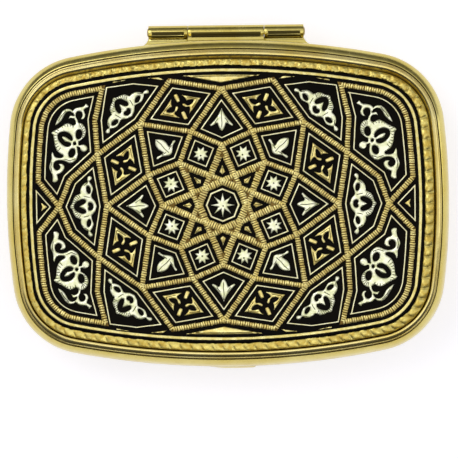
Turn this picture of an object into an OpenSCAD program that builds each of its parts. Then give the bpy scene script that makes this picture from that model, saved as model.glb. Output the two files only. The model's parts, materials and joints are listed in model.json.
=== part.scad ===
/* [Case] */
// Width of the case, left to right
case_w = 57; // [56:0.5:60]
// Depth of the case, front to back
case_d = 42.2; // [42:0.1:43]
// Height of the base, up to its rim
base_h = 7.8; // [7.5:0.1:9]
// Radius of the four corners seen from above
corner_r = 9.7; // [9.3:0.1:10]
// Radius of the bowed front and back walls
long_bow_r = 104; // [100:1:120]
// Radius of the bowed left and right walls
side_bow_r = 90; // [86:1:100]

/* [Sheet metal] */
// Thickness of the base wall and floor
base_wall = 0.7; // [0.6:0.05:0.8]
// Radius of the rolled foot of the base
foot_r = 2; // [1.8:0.1:2.2]
// Thickness of the lid wall
lid_wall = 0.5; // [0.4:0.05:0.6]
// Radius of the lid's shoulder
shoulder_r = 1; // [0.9:0.05:1]
// Gap of the seam between lid and base
seam = 0.1; // [0.05:0.05:0.15]
// How far the inner collar stands above the base rim
collar_rise = 2; // [1.8:0.1:2]

/* [Plaque] */
// Width of the recess for the plaque and its border
recess_w = 53; // [52.8:0.1:53.2]
// Depth of the recess for the plaque and its border
recess_d = 37.6; // [37.4:0.1:37.8]
// Corner radius of the recess
recess_r = 7.5; // [7.3:0.1:7.7]
// Width of the milled border, on average
border_w = 1.05; // [1:0.01:1.1]
// Sideways offset of the plate inside the border
plate_shift = -0.24; // [-0.26:0.01:-0.2]
// Offset of the plate inside the border, towards the hinge
plate_rise = 0.12; // [0.1:0.01:0.14]
// How proud the foil inlays stand
inlay_h = 0.06; // [0.04:0.01:0.1]

/* [Pattern] */
// Radius of the eight star points
star_r = 7.7; // [7.6:0.02:7.8]
// Radius of the outer corners of the small squares
square_r = 10.2; // [10.1:0.02:10.3]
// Radius of the outer corners of the tulip cells
kite_r = 14.85; // [14.8:0.05:14.9]
// Width of the hatched gold bands
band_w = 0.62; // [0.5:0.02:0.66]
// Width of the thin frame lines
frame_w = 0.22; // [0.2:0.02:0.24]
// Black gap between a band and its frame line
frame_gap = 0.43; // [0.41:0.01:0.44]
// Sideways offset of the hand-laid pattern
pattern_shift = -0.6; // [-0.65:0.05:-0.5]
// Offset of the hand-laid pattern towards the hinge
pattern_rise = 0.1; // [0:0.05:0.15]

/* [Hinge] */
// Length of the hinge
hinge_len = 20; // [18:0.5:21]
// Length of the middle knuckle
knuckle_len = 9.8; // [9:0.1:10]
// Outer radius of the knuckles
knuckle_r = 0.9; // [0.85:0.05:0.95]
// Radius of the hinge pin
pin_r = 0.35; // [0.3:0.05:0.4]

/* [Inside] */
// Height of the tray's top edge
tray_top = 7.3; // [6.5:0.1:7.3]
// Thickness of the tray's dividers
divider_w = 0.8; // [0.6:0.1:1.2]
// Thickness of the mirror glass
mirror_t = 0.8; // [0.6:0.1:0.8]

/* [Hidden] */

half_w = case_w / 2;
half_d = case_d / 2;
round_fn = 48;

// levels of the base
base_floor_z = base_wall;
collar_t = 0.4;
collar_bottom_z = 4.8;
collar_top_z = base_h + collar_rise;
catch_z = base_h + 0.9;
catch_h = 0.4;
catch_w = 6;
catch_play = 0.05;

// levels of the lid, from the seam up
lid_bottom_z = base_h + seam;
ceiling_z = base_h + 2.85;
ceiling_r = 0.6;
recess_floor_z = ceiling_z + 0.5;
backing_t = 0.7;
plaque_top_z = base_h + 4.6;
rim_seat_z = base_h + 4.35;
shoulder_z = base_h + 3.55;
groove_in = 1.12;
bezel_h = 0.45;

// tray
tray_in = 1.35;
tray_foot_in = 2.1;
tray_foot_top_z = 1.5;
tray_pocket_in = 2.25;
divider_y = 1.5;

// mirror
mirror_in = 3.2;
mirror_frame_in = 2.2;
mirror_lip_in = 4;
mirror_lip_t = 0.2;

// hinge
hinge_y = half_d + 1.1;
hinge_z = base_h + seam / 2;
knuckle_gap = 0.1;
leaf_t = 0.45;
leaf_drop = 2.9;
leaf_rise = 1.7;
base_bore_r = pin_r + 0.02;
lid_bore_r = pin_r + 0.05;
pin_head_r = 0.6;
pin_head_h = 0.2;

// thumb lip
lip_w = 9;
lip_out = 0.4;
lip_h = 1;

// bands of the plaque, measured inwards from the recess edge
line_in = 1.42;
line_w = 0.34;
field_in = 2.2;
plate_at = [plate_shift, plate_rise];
pattern_at = [pattern_shift, pattern_rise];
band = band_w / 2;
frame_out = band + frame_gap;
frame_inner = frame_out + frame_w;

// fixed corners of the pattern, first quadrant, from the middle of the rosette
upper_bend = [16.2, 11.05];
heart_peak = [11.2, 16.45];
heart_foot = [15.35, 15.9];
band_end_x = 15.2;
side_band_y = 3.3;

// the left end of the pattern is laid out a little shorter than the right one
function side_knot(sx) = [sx > 0 ? 21.2 : 20.95, 0];
function side_bend(sx) = [sx > 0 ? 19.95 : 19.5, 3.42];

//------------------------------------------------------------------ outlines

function polar(r, a) = r * [cos(a), sin(a)];
function arc(c, r, a0, a1, n) = [for (i = [0 : n]) c + polar(r, a0 + (a1 - a0) * i / n)];
function flip(list) = [for (i = [len(list) - 1 : -1 : 0]) list[i]];
function but_last(list) = [for (i = [0 : len(list) - 2]) list[i]];
function mirrored(list, sx, sy) = [for (p = list) [sx * p.x, sy * p.y]];
function mix(a, b, t) = [for (i = [0 : len(a) - 1]) a[i] * (1 - t) + b[i] * t];

// centre of the corner arc that meets both bowed walls smoothly
function corner_centre(hw, hd, r, rl, rs) =
    let (c1 = [0, hd - rl], c2 = [hw - rs, 0], d1 = rl - r, d2 = rs - r,
         u = c2 - c1, l = norm(u), p = (d1 * d1 - d2 * d2 + l * l) / (2 * l),
         h = sqrt(d1 * d1 - p * p))
    c1 + p * u / l + h * [u.y, -u.x] / l;

// first quadrant of the outline, from the right-hand side to the back
function quarter(hw, hd, r, rl, rs) =
    let (cc = corner_centre(hw, hd, r, rl, rs), c1 = [0, hd - rl], c2 = [hw - rs, 0],
         a1 = atan2(cc.y - c1.y, cc.x), a2 = atan2(cc.y, cc.x - c2.x))
    concat(but_last(arc(c2, rs, 0, a2, 4)), but_last(arc(cc, r, a2, a1, 8)),
           arc(c1, rl, a1, 90, 5));

function closed(q) =
    concat(but_last(q), but_last(flip(mirrored(q, -1, 1))), but_last(mirrored(q, -1, -1)),
           but_last(flip(mirrored(q, 1, -1))));

// the case outline, and the squarer outline of the plaque, each moved inwards by d
function case_loop(d) =
    closed(quarter(half_w - d, half_d - d, corner_r - d, long_bow_r - d, side_bow_r - d));
function plaque_quarter(d) =
    quarter(recess_w / 2 - d, recess_d / 2 - d, recess_r - d, long_bow_r - 2 - d, side_bow_r - 2 - d);
function plaque_loop(d) = closed(plaque_quarter(d));
function plate_loop(d) = [for (p = plaque_loop(d)) p + plate_at];
function bezel_loop(t) = mix(case_loop(groove_in), plaque_loop(0), t);
function at_z(loop, z) = [for (p = loop) [p.x, p.y, z]];

// a solid skinned over rings of equal length; capped at both ends, or joined into a band
module skin(rings, joined = false) {
    n = len(rings[0]);
    m = len(rings);
    walls = [for (i = [0 : m - (joined ? 1 : 2)], j = [0 : n - 1])
        let (k = (j + 1) % n, a = i * n, b = ((i + 1) % m) * n)
        each [[a + j, b + j, b + k], [a + j, b + k, a + k]]];
    caps = joined ? [] : [[for (j = [0 : n - 1]) j], [for (j = [n - 1 : -1 : 0]) (m - 1) * n + j]];
    polyhedron([for (r = rings) each r], concat(walls, caps), 4);
}

module sheet(loop, z, h) {
    translate([0, 0, z]) linear_extrude(h) polygon(loop);
}

module ring(outer, inner, z, h) {
    translate([0, 0, z]) linear_extrude(h) difference() {
        polygon(outer);
        polygon(inner);
    }
}

//------------------------------------------------------------------ base

module base_shell() {
    foot = [for (a = [0 : 18 : 90]) at_z(case_loop(foot_r * (1 - sin(a))), foot_r * (1 - cos(a)))];
    inner_r = foot_r - base_wall;
    inside = [for (a = [0 : 22.5 : 90])
        at_z(case_loop(foot_r - inner_r * cos(a)), foot_r - inner_r * sin(a))];
    rim = [at_z(case_loop(0), base_h), at_z(case_loop(base_wall), base_h)];
    color("goldenrod") skin(concat(foot, rim, inside));
}

module base_collar() {
    color("gold")
        ring(case_loop(base_wall), case_loop(base_wall + collar_t), collar_bottom_z,
             collar_top_z - collar_bottom_z);
}

module snap_catch() {
    color("gold") translate([0, 0, catch_z]) linear_extrude(catch_h) intersection() {
        difference() {
            polygon(case_loop(lid_wall + catch_play));
            polygon(case_loop(base_wall));
        }
        translate([-catch_w / 2, -half_d]) square([catch_w, half_d / 2]);
    }
}

module tray_pocket(x0, x1, y0, y1) {
    translate([0, 0, tray_foot_top_z]) linear_extrude(tray_top) intersection() {
        polygon(case_loop(tray_pocket_in));
        translate([x0, y0]) square([x1 - x0, y1 - y0]);
    }
}

module pill_tray() {
    half_div = divider_w / 2;
    color("ivory") difference() {
        union() {
            sheet(case_loop(tray_foot_in), base_floor_z, tray_foot_top_z - base_floor_z);
            sheet(case_loop(tray_in), tray_foot_top_z - 0.2, tray_top - tray_foot_top_z + 0.2);
        }
        tray_pocket(-half_w, half_w, divider_y + half_div, half_d);
        tray_pocket(-half_w, -half_div, -half_d, divider_y - half_div);
        tray_pocket(half_div, half_w, -half_d, divider_y - half_div);
    }
}

//------------------------------------------------------------------ hinge

module along_x(x0, length) {
    translate([x0, 0, 0]) rotate([90, 0, 90]) linear_extrude(length) children();
}

module knuckle(x0, length) {
    translate([x0, hinge_y, hinge_z]) rotate([0, 90, 0])
        cylinder(r = knuckle_r, h = length, $fn = round_fn);
}

module pin_bore(r) {
    translate([-hinge_len, hinge_y, hinge_z]) rotate([0, 90, 0])
        cylinder(r = r, h = 2 * hinge_len, $fn = round_fn);
}

module base_hinge_leaf() {
    y0 = half_d - 1;
    leaf_y = half_d + leaf_t;
    outer_len = (hinge_len - knuckle_len) / 2 - knuckle_gap;
    color("goldenrod") difference() {
        union() {
            along_x(-hinge_len / 2, hinge_len)
                polygon([[y0, hinge_z - leaf_drop], [leaf_y, hinge_z - leaf_drop],
                         [leaf_y, hinge_z - knuckle_r - 0.15], [y0, hinge_z - knuckle_r - 0.15]]);
            for (x0 = [-hinge_len / 2, hinge_len / 2 - outer_len]) {
                along_x(x0, outer_len)
                    polygon([[y0, hinge_z - leaf_drop], [leaf_y, hinge_z - leaf_drop],
                             [leaf_y, hinge_z - knuckle_r], [hinge_y, hinge_z - knuckle_r],
                             [hinge_y, hinge_z], [y0, hinge_z]]);
                knuckle(x0, outer_len);
            }
        }
        sheet(case_loop(0), 0, 2 * base_h);
        pin_bore(base_bore_r);
    }
}

module lid_hinge_leaf() {
    y0 = half_d - 1;
    leaf_y = half_d + leaf_t;
    color("goldenrod") difference() {
        union() {
            along_x(-knuckle_len / 2, knuckle_len)
                polygon([[y0, lid_bottom_z], [hinge_y, lid_bottom_z], [hinge_y, hinge_z + knuckle_r],
                         [leaf_y, hinge_z + knuckle_r], [leaf_y, hinge_z + leaf_rise],
                         [y0, hinge_z + leaf_rise]]);
            knuckle(-knuckle_len / 2, knuckle_len);
        }
        sheet(case_loop(0), 0, 2 * base_h);
        pin_bore(lid_bore_r);
    }
}

module hinge_pin() {
    color("silver") translate([0, hinge_y, hinge_z]) rotate([0, 90, 0]) {
        cylinder(r = pin_r, h = hinge_len, center = true, $fn = round_fn);
        for (side = [-1, 1])
            translate([0, 0, side * (hinge_len + pin_head_h) / 2])
                cylinder(r = pin_head_r, h = pin_head_h, center = true, $fn = round_fn);
    }
}

//------------------------------------------------------------------ lid

module lid_shell() {
    ceiling = [for (a = [0 : 30 : 90])
        at_z(case_loop(lid_wall + ceiling_r * (1 - sin(a))), ceiling_z - ceiling_r * (1 - cos(a)))];
    wall = [at_z(case_loop(lid_wall), lid_bottom_z), at_z(case_loop(0), lid_bottom_z)];
    shoulder = [for (a = [0 : 18 : 90])
        at_z(case_loop(shoulder_r * (1 - cos(a))), shoulder_z + shoulder_r * sin(a))];
    seat = [at_z(bezel_loop(0), rim_seat_z), at_z(plaque_loop(0), rim_seat_z),
            at_z(plaque_loop(0), recess_floor_z)];
    color("goldenrod") skin(concat(ceiling, wall, shoulder, seat));
}

// the raised bead that holds the plaque, as pairs of [place across, height]
bezel_profile = [[0, 0], [0.03, 0.5], [0.2, 0.86], [0.45, 1], [0.7, 0.86], [0.9, 0.5], [1, 0.12], [1, 0]];

module lid_bezel() {
    color("gold")
        skin([for (p = bezel_profile) at_z(bezel_loop(p[0]), rim_seat_z + bezel_h * p[1])], joined = true);
}

module thumb_lip() {
    steps = 12;
    edge = [for (i = [0 : steps]) let (t = 2 * i / steps - 1)
        [t * lip_w / 2, -half_d - lip_out * (1 - pow(abs(t), 6))]];
    color("goldenrod") translate([0, 0, lid_bottom_z]) linear_extrude(lip_h) difference() {
        polygon(concat(edge, [[lip_w / 2, 1 - half_d], [-lip_w / 2, 1 - half_d]]));
        polygon(case_loop(0));
    }
}

module mirror_glass() {
    color("lightsteelblue") sheet(case_loop(mirror_in), ceiling_z - mirror_t, mirror_t);
}

module mirror_frame() {
    color("gold") {
        ring(case_loop(mirror_frame_in), case_loop(mirror_in), ceiling_z - mirror_t, mirror_t);
        ring(case_loop(mirror_frame_in), case_loop(mirror_lip_in),
             ceiling_z - mirror_t - mirror_lip_t, mirror_lip_t);
    }
}

//------------------------------------------------------------------ plaque

module plaque_backing() {
    color("tan") sheet(plate_loop(border_w), recess_floor_z, backing_t);
}

module plaque_plate() {
    color([0.06, 0.05, 0.06])
        sheet(plate_loop(border_w), recess_floor_z + backing_t,
              plaque_top_z - recess_floor_z - backing_t);
}

module milled_border() {
    low = plaque_top_z - 0.4;
    profile = [[0, recess_floor_z], [0, low], [0.12, low + 0.12], [border_w - 0.1, plaque_top_z + 0.04],
               [border_w, plaque_top_z], [border_w, recess_floor_z]];
    color("gold") skin([for (p = profile)
        at_z([for (q = plaque_loop(p[0])) q + plate_at * p[0] / border_w], p[1])], joined = true);
}

// lifts a flat shape into a foil inlay on the plaque
module inlay() {
    translate([0, 0, plaque_top_z]) linear_extrude(inlay_h) children();
}

// places a shape in the pattern: its +Y points outwards at angle a, radius r from the rosette
module placed(r, a) {
    translate(pattern_at) rotate(a - 90) translate([0, r]) children();
}

module border_line() {
    color("gold") inlay() difference() {
        polygon(plate_loop(line_in));
        polygon(plate_loop(line_in + line_w));
    }
}

//------------------------------------------------------------------ cells of the pattern

function shifted(list) = [for (p = list) p + pattern_at];
function star_tip(k) = polar(star_r, 45 * k);
function square_tip(k) = polar(square_r, 45 * k + 22.5);
function kite_tip(k) = polar(kite_r, 45 * k);
function rhomb_tip(k) = kite_tip(k) + kite_tip(k + 1) - square_tip(k);
function star_notch(k) = polar(star_r * cos(67.5) / cos(45), 45 * k + 22.5);

function cross(a, b) = a.x * b.y - a.y * b.x;
function turn(p) = let (n = len(p), s = [for (i = [0 : n - 1]) cross(p[i], p[(i + 1) % n])])
    sign(s * [for (i = [0 : n - 1]) 1]);

// moves every side of a polygon inwards by d, with mitred corners
function inset(p, d) = let (n = len(p), w = turn(p))
    [for (i = [0 : n - 1])
        let (e0 = p[i] - p[(i + n - 1) % n], e1 = p[(i + 1) % n] - p[i],
             n0 = w * [-e0.y, e0.x] / norm(e0), n1 = w * [-e1.y, e1.x] / norm(e1))
        p[i] + d * (n0 + n1) / (1 + n0 * n1)];

function square_cell(k) = shifted([star_notch(k), star_tip(k), square_tip(k), star_tip(k + 1)]);
function kite_cell(k) = shifted([star_tip(k), square_tip(k), kite_tip(k), square_tip(k - 1)]);
function rhomb_cell(k) = shifted([square_tip(k), kite_tip(k), rhomb_tip(k), kite_tip(k + 1)]);

function to_quadrant(p, sx, sy) = [sx * p.x, sy * p.y] + pattern_at;
function quadrant_list(list, sx, sy) = [for (p = list) to_quadrant(p, sx, sy)];

// the stretch of the plaque's border that a corner cell follows, from its side to its top end
function border_run(sx, sy) =
    let (d = field_in + band, rl = long_bow_r - 2 - d, rs = side_bow_r - 2 - d,
         off = pattern_at - plate_at, end_x = band_end_x + sx * off.x, end_y = side_band_y + sy * off.y,
         low = [recess_w / 2 - d - rs + sqrt(rs * rs - end_y * end_y), end_y],
         high = [end_x, recess_d / 2 - d - rl + sqrt(rl * rl - end_x * end_x)],
         middle = [for (p = plaque_quarter(d)) if (p.y > end_y + 1 && p.x > end_x + 1) p])
    [for (p = mirrored(concat([low], middle, [high]), sx, sy)) p + plate_at];

function corner_cell(sx, sy) =
    concat(border_run(sx, sy),
           quadrant_list([upper_bend, rhomb_tip(0), side_bend(sx), side_knot(sx)], sx, sy));
function heart_cell(sx, sy) =
    quadrant_list([rhomb_tip(1), heart_peak, heart_foot, upper_bend, rhomb_tip(0), kite_tip(1)], sx, sy);
function side_cell(sx) =
    quadrant_list([kite_tip(0), rhomb_tip(0), side_bend(sx), side_knot(sx),
                   [side_bend(sx).x, -side_bend(sx).y], [rhomb_tip(0).x, -rhomb_tip(0).y]], sx, 1);
function side_triangle(sx) =
    concat(quadrant_list([side_knot(sx)], sx, 1), [border_run(sx, 1)[0] + [1.1 * sx, 1],
           border_run(sx, -1)[0] + [1.1 * sx, -1]]);

// outer edge of the network of gold bands: one quadrant from the side knot to the back kite tip
function network_quarter(sx, sy) =
    concat(quadrant_list([side_knot(sx)], sx, sy), border_run(sx, sy),
           quadrant_list([upper_bend, rhomb_tip(0), kite_tip(1), rhomb_tip(1)], sx, sy));
function network() =
    concat(network_quarter(1, 1), shifted([kite_tip(2)]), flip(network_quarter(-1, 1)),
           [for (i = [1 : len(network_quarter(-1, -1)) - 1]) network_quarter(-1, -1)[i]],
           shifted([kite_tip(6)]),
           [for (i = [len(network_quarter(1, -1)) - 1 : -1 : 1]) network_quarter(1, -1)[i]]);

signs = [[1, 1], [-1, 1], [-1, -1], [1, -1]];
framed_cells = concat([for (k = [0 : 7]) each [square_cell(k), kite_cell(k), rhomb_cell(k)]],
                      [for (s = signs) corner_cell(s.x, s.y)], [side_cell(1), side_cell(-1)]);

octagon_r = 2.63;
octagon_line_r = 2.18;
octagon_line_w = 0.24;
dart_outline = [[0, 6.2], [-1.08, 3.83], [-0.6, 3.55], [0, 3.46], [0.6, 3.55], [1.08, 3.83]];

module gold_lattice() {
    color("goldenrod") inlay() difference() {
        polygon(inset(network(), -band));
        for (cell = framed_cells) polygon(inset(cell, band));
        for (k = [0 : 7]) placed(0, 45 * k) polygon(dart_outline);
        placed(0, 90) circle(octagon_r, $fn = 8);
    }
}

module frame_line(cell, from, to) {
    difference() {
        polygon(inset(cell, from));
        polygon(inset(cell, to));
    }
}

module frame_lines() {
    color("palegoldenrod") inlay() {
        for (cell = framed_cells) frame_line(cell, frame_out, frame_inner);
        for (s = signs) frame_line(heart_cell(s.x, s.y), frame_out, frame_inner);
        for (sx = [-1, 1]) frame_line(side_triangle(sx), frame_out, frame_inner);
        placed(0, 90) difference() {
            circle(octagon_line_r, $fn = 8);
            circle(octagon_line_r - octagon_line_w, $fn = 8);
        }
    }
}

//------------------------------------------------------------------ motifs

// a point is [x, y], or [x, y, 1] where the outline has a sharp corner
function flat(p) = [p[0], p[1]];
function tangent(p, i) = let (n = len(p))
    len(p[i]) > 2 ? [0, 0] : (flat(p[(i + 1) % n]) - flat(p[(i + n - 1) % n])) / 2;
function smooth(p, steps) = let (n = len(p))
    [for (i = [0 : n - 1], j = [0 : steps - 1])
        let (t = j / steps, k = (i + 1) % n, t2 = t * t, t3 = t2 * t)
        (2 * t3 - 3 * t2 + 1) * flat(p[i]) + (t3 - 2 * t2 + t) * tangent(p, i)
        + (3 * t2 - 2 * t3) * flat(p[k]) + (t3 - t2) * tangent(p, k)];
function both_sides(half) =
    concat(half, [for (i = [len(half) - 1 : -1 : 0]) if (half[i][0] > 0.01)
        len(half[i]) > 2 ? [-half[i][0], half[i][1], 1] : [-half[i][0], half[i][1]]]);

// the points of a motif with its width and height changed
function stretched(list, k) =
    [for (p = list) [for (i = [0 : len(p) - 1]) i < 2 ? k[i] * p[i] : p[i]]];

curve_steps = 2;

module blob(points) {
    polygon(smooth(points, curve_steps));
}

module oval(x, y, rx, ry, a = 0) {
    points = [for (i = [0 : 11]) [rx * cos(30 * i), ry * sin(30 * i)]];
    translate([x, y]) rotate(a) polygon(points);
}

module star_shape(outer, inner) {
    polygon([for (i = [0 : 15]) polar(i % 2 == 0 ? outer : inner, 22.5 * i)]);
}

module centre_star() {
    color("ivory") inlay() placed(0, 90) star_shape(1.52, 0.72);
}

module small_stars() {
    color("ivory") inlay() for (k = [0 : 7])
        placed((norm(star_notch(k)) + square_r) / 2 - 0.1, 45 * k + 22.5) star_shape(1.05, 0.64);
}

arrow_tulip = [[0, 0.95, 1], [0.45, 0.1], [0.95, -0.55], [1.5, -1.15, 1], [1.35, -1.3], [1, -1.15],
               [0.7, -0.95], [0.5, -1, 1], [0.4, -1.35], [0.2, -1.75], [0, -1.9]];
leaf_tulip = [[0, 0.6, 1], [0.35, 0.3], [0.6, -0.1], [0.68, -0.6], [0.6, -1], [0.55, -1.3, 1],
              [1.1, -1.22], [1.4, -1.12], [1.65, -1.2], [1.6, -1.42], [1.3, -1.45], [1, -1.55],
              [0.6, -1.85], [0.25, -2.1], [0, -2.15]];
tulip_r = 11.4;

module tulips() {
    color("ivory") inlay() for (k = [0 : 7])
        placed(tulip_r, 45 * k) blob(both_sides(k % 2 == 0 ? arrow_tulip : leaf_tulip));
}

flower_leaf = [[2.85, -0.05, 1], [2, 0.42], [1.4, 0.82], [0.75, 1.22, 1], [0.95, 0.75], [1, 0.32, 1],
               [1.5, 0.26], [1.9, 0.05], [1.5, -0.25], [1, -0.33], [0.75, -0.1], [0.6, 0.12],
               [0.4, 0.14], [0.32, -0.05], [0.6, -0.38], [1, -0.5], [1, -0.8], [0.7, -1.3, 1],
               [1.3, -1.02], [2, -0.55]];
flower_bar = [[-0.22, 0.65], [0, 0.55], [0.22, 0.65], [0.24, 1.5], [0, 1.62], [-0.24, 1.5]];
flower_r = 13.75;

module gold_flowers() {
    color("goldenrod") inlay() for (k = [0 : 7]) placed(flower_r, 45 * k + 22.5) {
        blob(flower_leaf);
        mirror([1, 0]) blob(flower_leaf);
        blob(flower_bar);
        mirror([0, 1]) translate([0, 0.22]) blob(flower_bar);
    }
}

module inner_darts() {
    color("goldenrod") inlay() for (k = [0 : 7])
        placed(0, 45 * k) polygon([[0, 5.1], [-0.36, 4.25], [0, 3.95], [0.36, 4.25]]);
}

heart_outline = [[0, 2.36], [0.45, 2.05], [0.9, 1.9], [1.35, 1.6], [1.6, 1.15], [1.7, 0.92, 1],
                 [2.1, 0.93], [2.6, 0.75], [3, 0.35], [3.2, -0.1, 1], [3.5, -0.02], [3.85, -0.12],
                 [3.95, -0.42], [3.7, -0.65], [3.42, -0.5], [3.2, -0.3, 1], [2.9, -0.55], [2.3, -0.78],
                 [1.8, -0.65], [1.25, -0.55], [0.7, -1], [0.3, -1.15], [0, -1.25]];
heart_hole = [[0, 1.82], [0.35, 1.72], [0.7, 1.3], [0.92, 0.7], [0.85, 0.3], [0.6, 0.2], [0.35, 0.45],
              [0.15, 0.85], [0, 1.1, 1]];
heart_lower_hole = [[0, -0.2, 1], [0.3, -0.06], [0.5, -0.22], [0.45, -0.55], [0.2, -0.75], [0, -0.78]];

module heart_arabesque(k) {
    difference() {
        blob(both_sides(stretched(heart_outline, k)));
        blob(both_sides(stretched(heart_hole, k)));
        blob(both_sides(stretched(heart_lower_hole, k)));
        for (side = [-1, 1]) oval(side * 2.15 * k.x, -0.15, 0.5, 0.28, side * 12);
    }
}

module heart_arabesques() {
    color("ivory") inlay() {
        placed(17.4, 0) heart_arabesque([0.99, 0.95]);
        placed(17.3, 180) heart_arabesque([0.99, 0.95]);
        for (a = [45, 135, 225, 315]) placed(17.35, a) heart_arabesque([0.97, 0.93]);
    }
}

corner_body = [[-0.75, 2.05], [-1.2, 1.95], [-1.6, 1.5], [-1.75, 0.9], [-1.6, 0.3], [-1.2, -0.15],
               [-0.75, -0.42, 1], [-0.72, -0.85], [-0.95, -0.92, 1], [-1.4, -0.8], [-1.85, -1.1],
               [-1.85, -1.6], [-1.4, -1.85], [-1, -1.6], [-0.9, -1.2], [-0.5, -1.15, 1], [-0.55, -1.6],
               [-0.6, -2.2], [-0.4, -2.8], [0.1, -3.22], [0.6, -3.3], [1.1, -3.05], [1.7, -2.88],
               [2.2, -2.95], [2.6, -3.15], [2.75, -3.6], [2.6, -4], [2.2, -4.2], [1.85, -3.95],
               [1.82, -3.65], [2.05, -3.38, 1], [1.55, -3.35], [1.25, -3.7], [1.4, -4.25], [1.8, -4.6],
               [2.25, -4.78, 1], [2.2, -5.1], [2.15, -5.5], [2.5, -5.8], [2.9, -5.7], [2.85, -5.25],
               [2.95, -4.7], [3.25, -4.1], [3.3, -3.6], [3.1, -3.05], [2.97, -2.6], [2.98, -2.1],
               [2.85, -1.72], [2.7, -2.05], [2.5, -2.4], [2, -2.55], [1.5, -2.5], [1.4, -2.25],
               [1.9, -1.95], [2.3, -1.5], [2.5, -0.9], [2.6, -0.2], [2.7, 0.4], [2.95, 0.65, 1],
               [2.7, 1], [2.2, 1.2], [1.5, 1.62], [0.9, 1.95], [0.4, 1.92], [0, 1.68, 1], [-0.35, 1.85],
               [-0.4, 2.15], [-0.2, 2.55], [0.25, 2.68], [0.55, 2.6, 1], [0.35, 3], [0, 2.95],
               [-0.2, 2.95], [-0.05, 3.3], [0.25, 3.5], [0.6, 3.52], [0.95, 3.35], [1.2, 2.95],
               [1.5, 2.4], [1.95, 1.98], [2.4, 1.72, 1], [2.2, 2.3], [1.75, 3.05], [1.35, 3.6],
               [0.85, 3.88], [0.35, 3.85], [-0.02, 3.62, 1], [-0.35, 3.95], [-0.9, 4.08], [-1.5, 4.18],
               [-1.8, 4.55, 1], [-2.2, 4.2], [-1.95, 3.98], [-1.5, 3.7], [-1.72, 3.1], [-1.5, 2.55],
               [-1.05, 2.5, 1], [-1.3, 2.85], [-1.3, 3.25], [-1.05, 3.5], [-0.65, 3.5], [-0.42, 3.15],
               [-0.45, 2.75], [-0.65, 2.4]];
corner_crescent = [[0.05, 0], [0.4, 0.55], [1, 0.85], [1.7, 0.8], [2.1, 0.4], [2, -0.2], [1.5, -0.8],
                   [0.9, -1.1], [0.4, -0.98], [0.28, -0.7], [0.6, -0.5], [1.1, -0.4], [1.5, 0.1],
                   [1.35, 0.25], [0.85, 0.1], [0.4, -0.25], [0.15, -0.3]];

module corner_arabesque(k) {
    difference() {
        blob(stretched(corner_body, k));
        blob(stretched(corner_crescent, k));
        oval(-0.8 * k.x, 0.5 * k.y, 0.42, 0.62, 8);
        oval(0.2 * k.x, -1.95 * k.y, 0.42, 0.6, 25);
        oval(-0.2 * k.x, -0.7 * k.y, 0.2, 0.2);
    }
}

module corner_arabesques() {
    color("ivory") inlay() for (s = signs) translate(pattern_at) scale([s.x, s.y]) {
        if (s.x > 0) translate([19.35, 8.75]) corner_arabesque([0.99, 0.97]);
        if (s.x < 0) translate([19, 8.75]) corner_arabesque([0.94, 0.97]);
    }
}

module side_darts() {
    color("goldenrod") inlay() for (x = [-22.9, 23.65]) translate([x, 0] + pattern_at) {
        side = sign(x);
        polygon([[side * -0.45, 0], [side * 0.35, 0.55], [side * 0.2, 0], [side * 0.35, -0.55]]);
    }
}

module edge_slivers() {
    d = field_in - 0.05;
    rl = long_bow_r - 2 - d;
    top = [for (x = [-4.9 : 1.4 : 4.9]) [x, recess_d / 2 - d - rl + sqrt(rl * rl - x * x)]];
    color("goldenrod") inlay() for (side = [-1, 1]) translate(pattern_at) scale([1, side]) {
        polygon(concat([[0, 15.62]], [for (p = flip(top)) p - [0, side * (pattern_rise - plate_rise)]]));
        for (flank = [-1, 1]) scale([flank, 1]) {
            polygon([[7.3, 16.02], [9.4, 16.3], [7.9, 16.38]]);
            polygon([[12.1, 16.1], [13.8, 15.72], [13.8, 15.9]]);
        }
    }
}

base_shell();
base_collar();
snap_catch();
pill_tray();
base_hinge_leaf();
hinge_pin();
lid_shell();
lid_bezel();
thumb_lip();
lid_hinge_leaf();
mirror_glass();
mirror_frame();
plaque_backing();
plaque_plate();
milled_border();
border_line();
gold_lattice();
frame_lines();
centre_star();
small_stars();
tulips();
gold_flowers();
inner_darts();
heart_arabesques();
corner_arabesques();
side_darts();
edge_slivers();
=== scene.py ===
import json
import random
from math import acos, atan2, ceil, cos, exp, hypot, pi, radians, sin, sqrt

import bmesh
import bpy
import numpy as np
from mathutils import Matrix, Vector, geometry, noise
from numpy.linalg import norm

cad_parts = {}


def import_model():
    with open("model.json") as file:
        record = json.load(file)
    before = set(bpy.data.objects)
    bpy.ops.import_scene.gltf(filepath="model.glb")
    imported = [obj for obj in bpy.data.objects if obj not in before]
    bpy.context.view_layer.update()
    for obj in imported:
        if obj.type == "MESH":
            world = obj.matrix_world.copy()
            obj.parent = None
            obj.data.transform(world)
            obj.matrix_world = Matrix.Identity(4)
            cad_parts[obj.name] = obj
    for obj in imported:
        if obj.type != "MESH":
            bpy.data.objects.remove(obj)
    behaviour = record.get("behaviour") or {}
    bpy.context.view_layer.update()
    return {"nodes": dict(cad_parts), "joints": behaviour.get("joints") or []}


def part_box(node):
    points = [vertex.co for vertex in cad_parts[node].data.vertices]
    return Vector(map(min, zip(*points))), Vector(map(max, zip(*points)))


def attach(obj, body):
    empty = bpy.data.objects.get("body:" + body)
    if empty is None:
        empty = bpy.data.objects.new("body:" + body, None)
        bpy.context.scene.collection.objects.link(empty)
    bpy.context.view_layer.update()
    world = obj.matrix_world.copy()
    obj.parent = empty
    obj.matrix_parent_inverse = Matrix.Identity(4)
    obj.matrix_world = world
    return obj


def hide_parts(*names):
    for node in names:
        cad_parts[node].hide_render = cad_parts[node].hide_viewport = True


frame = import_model()

MM = 0.001
rng = random.Random(11)


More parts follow.
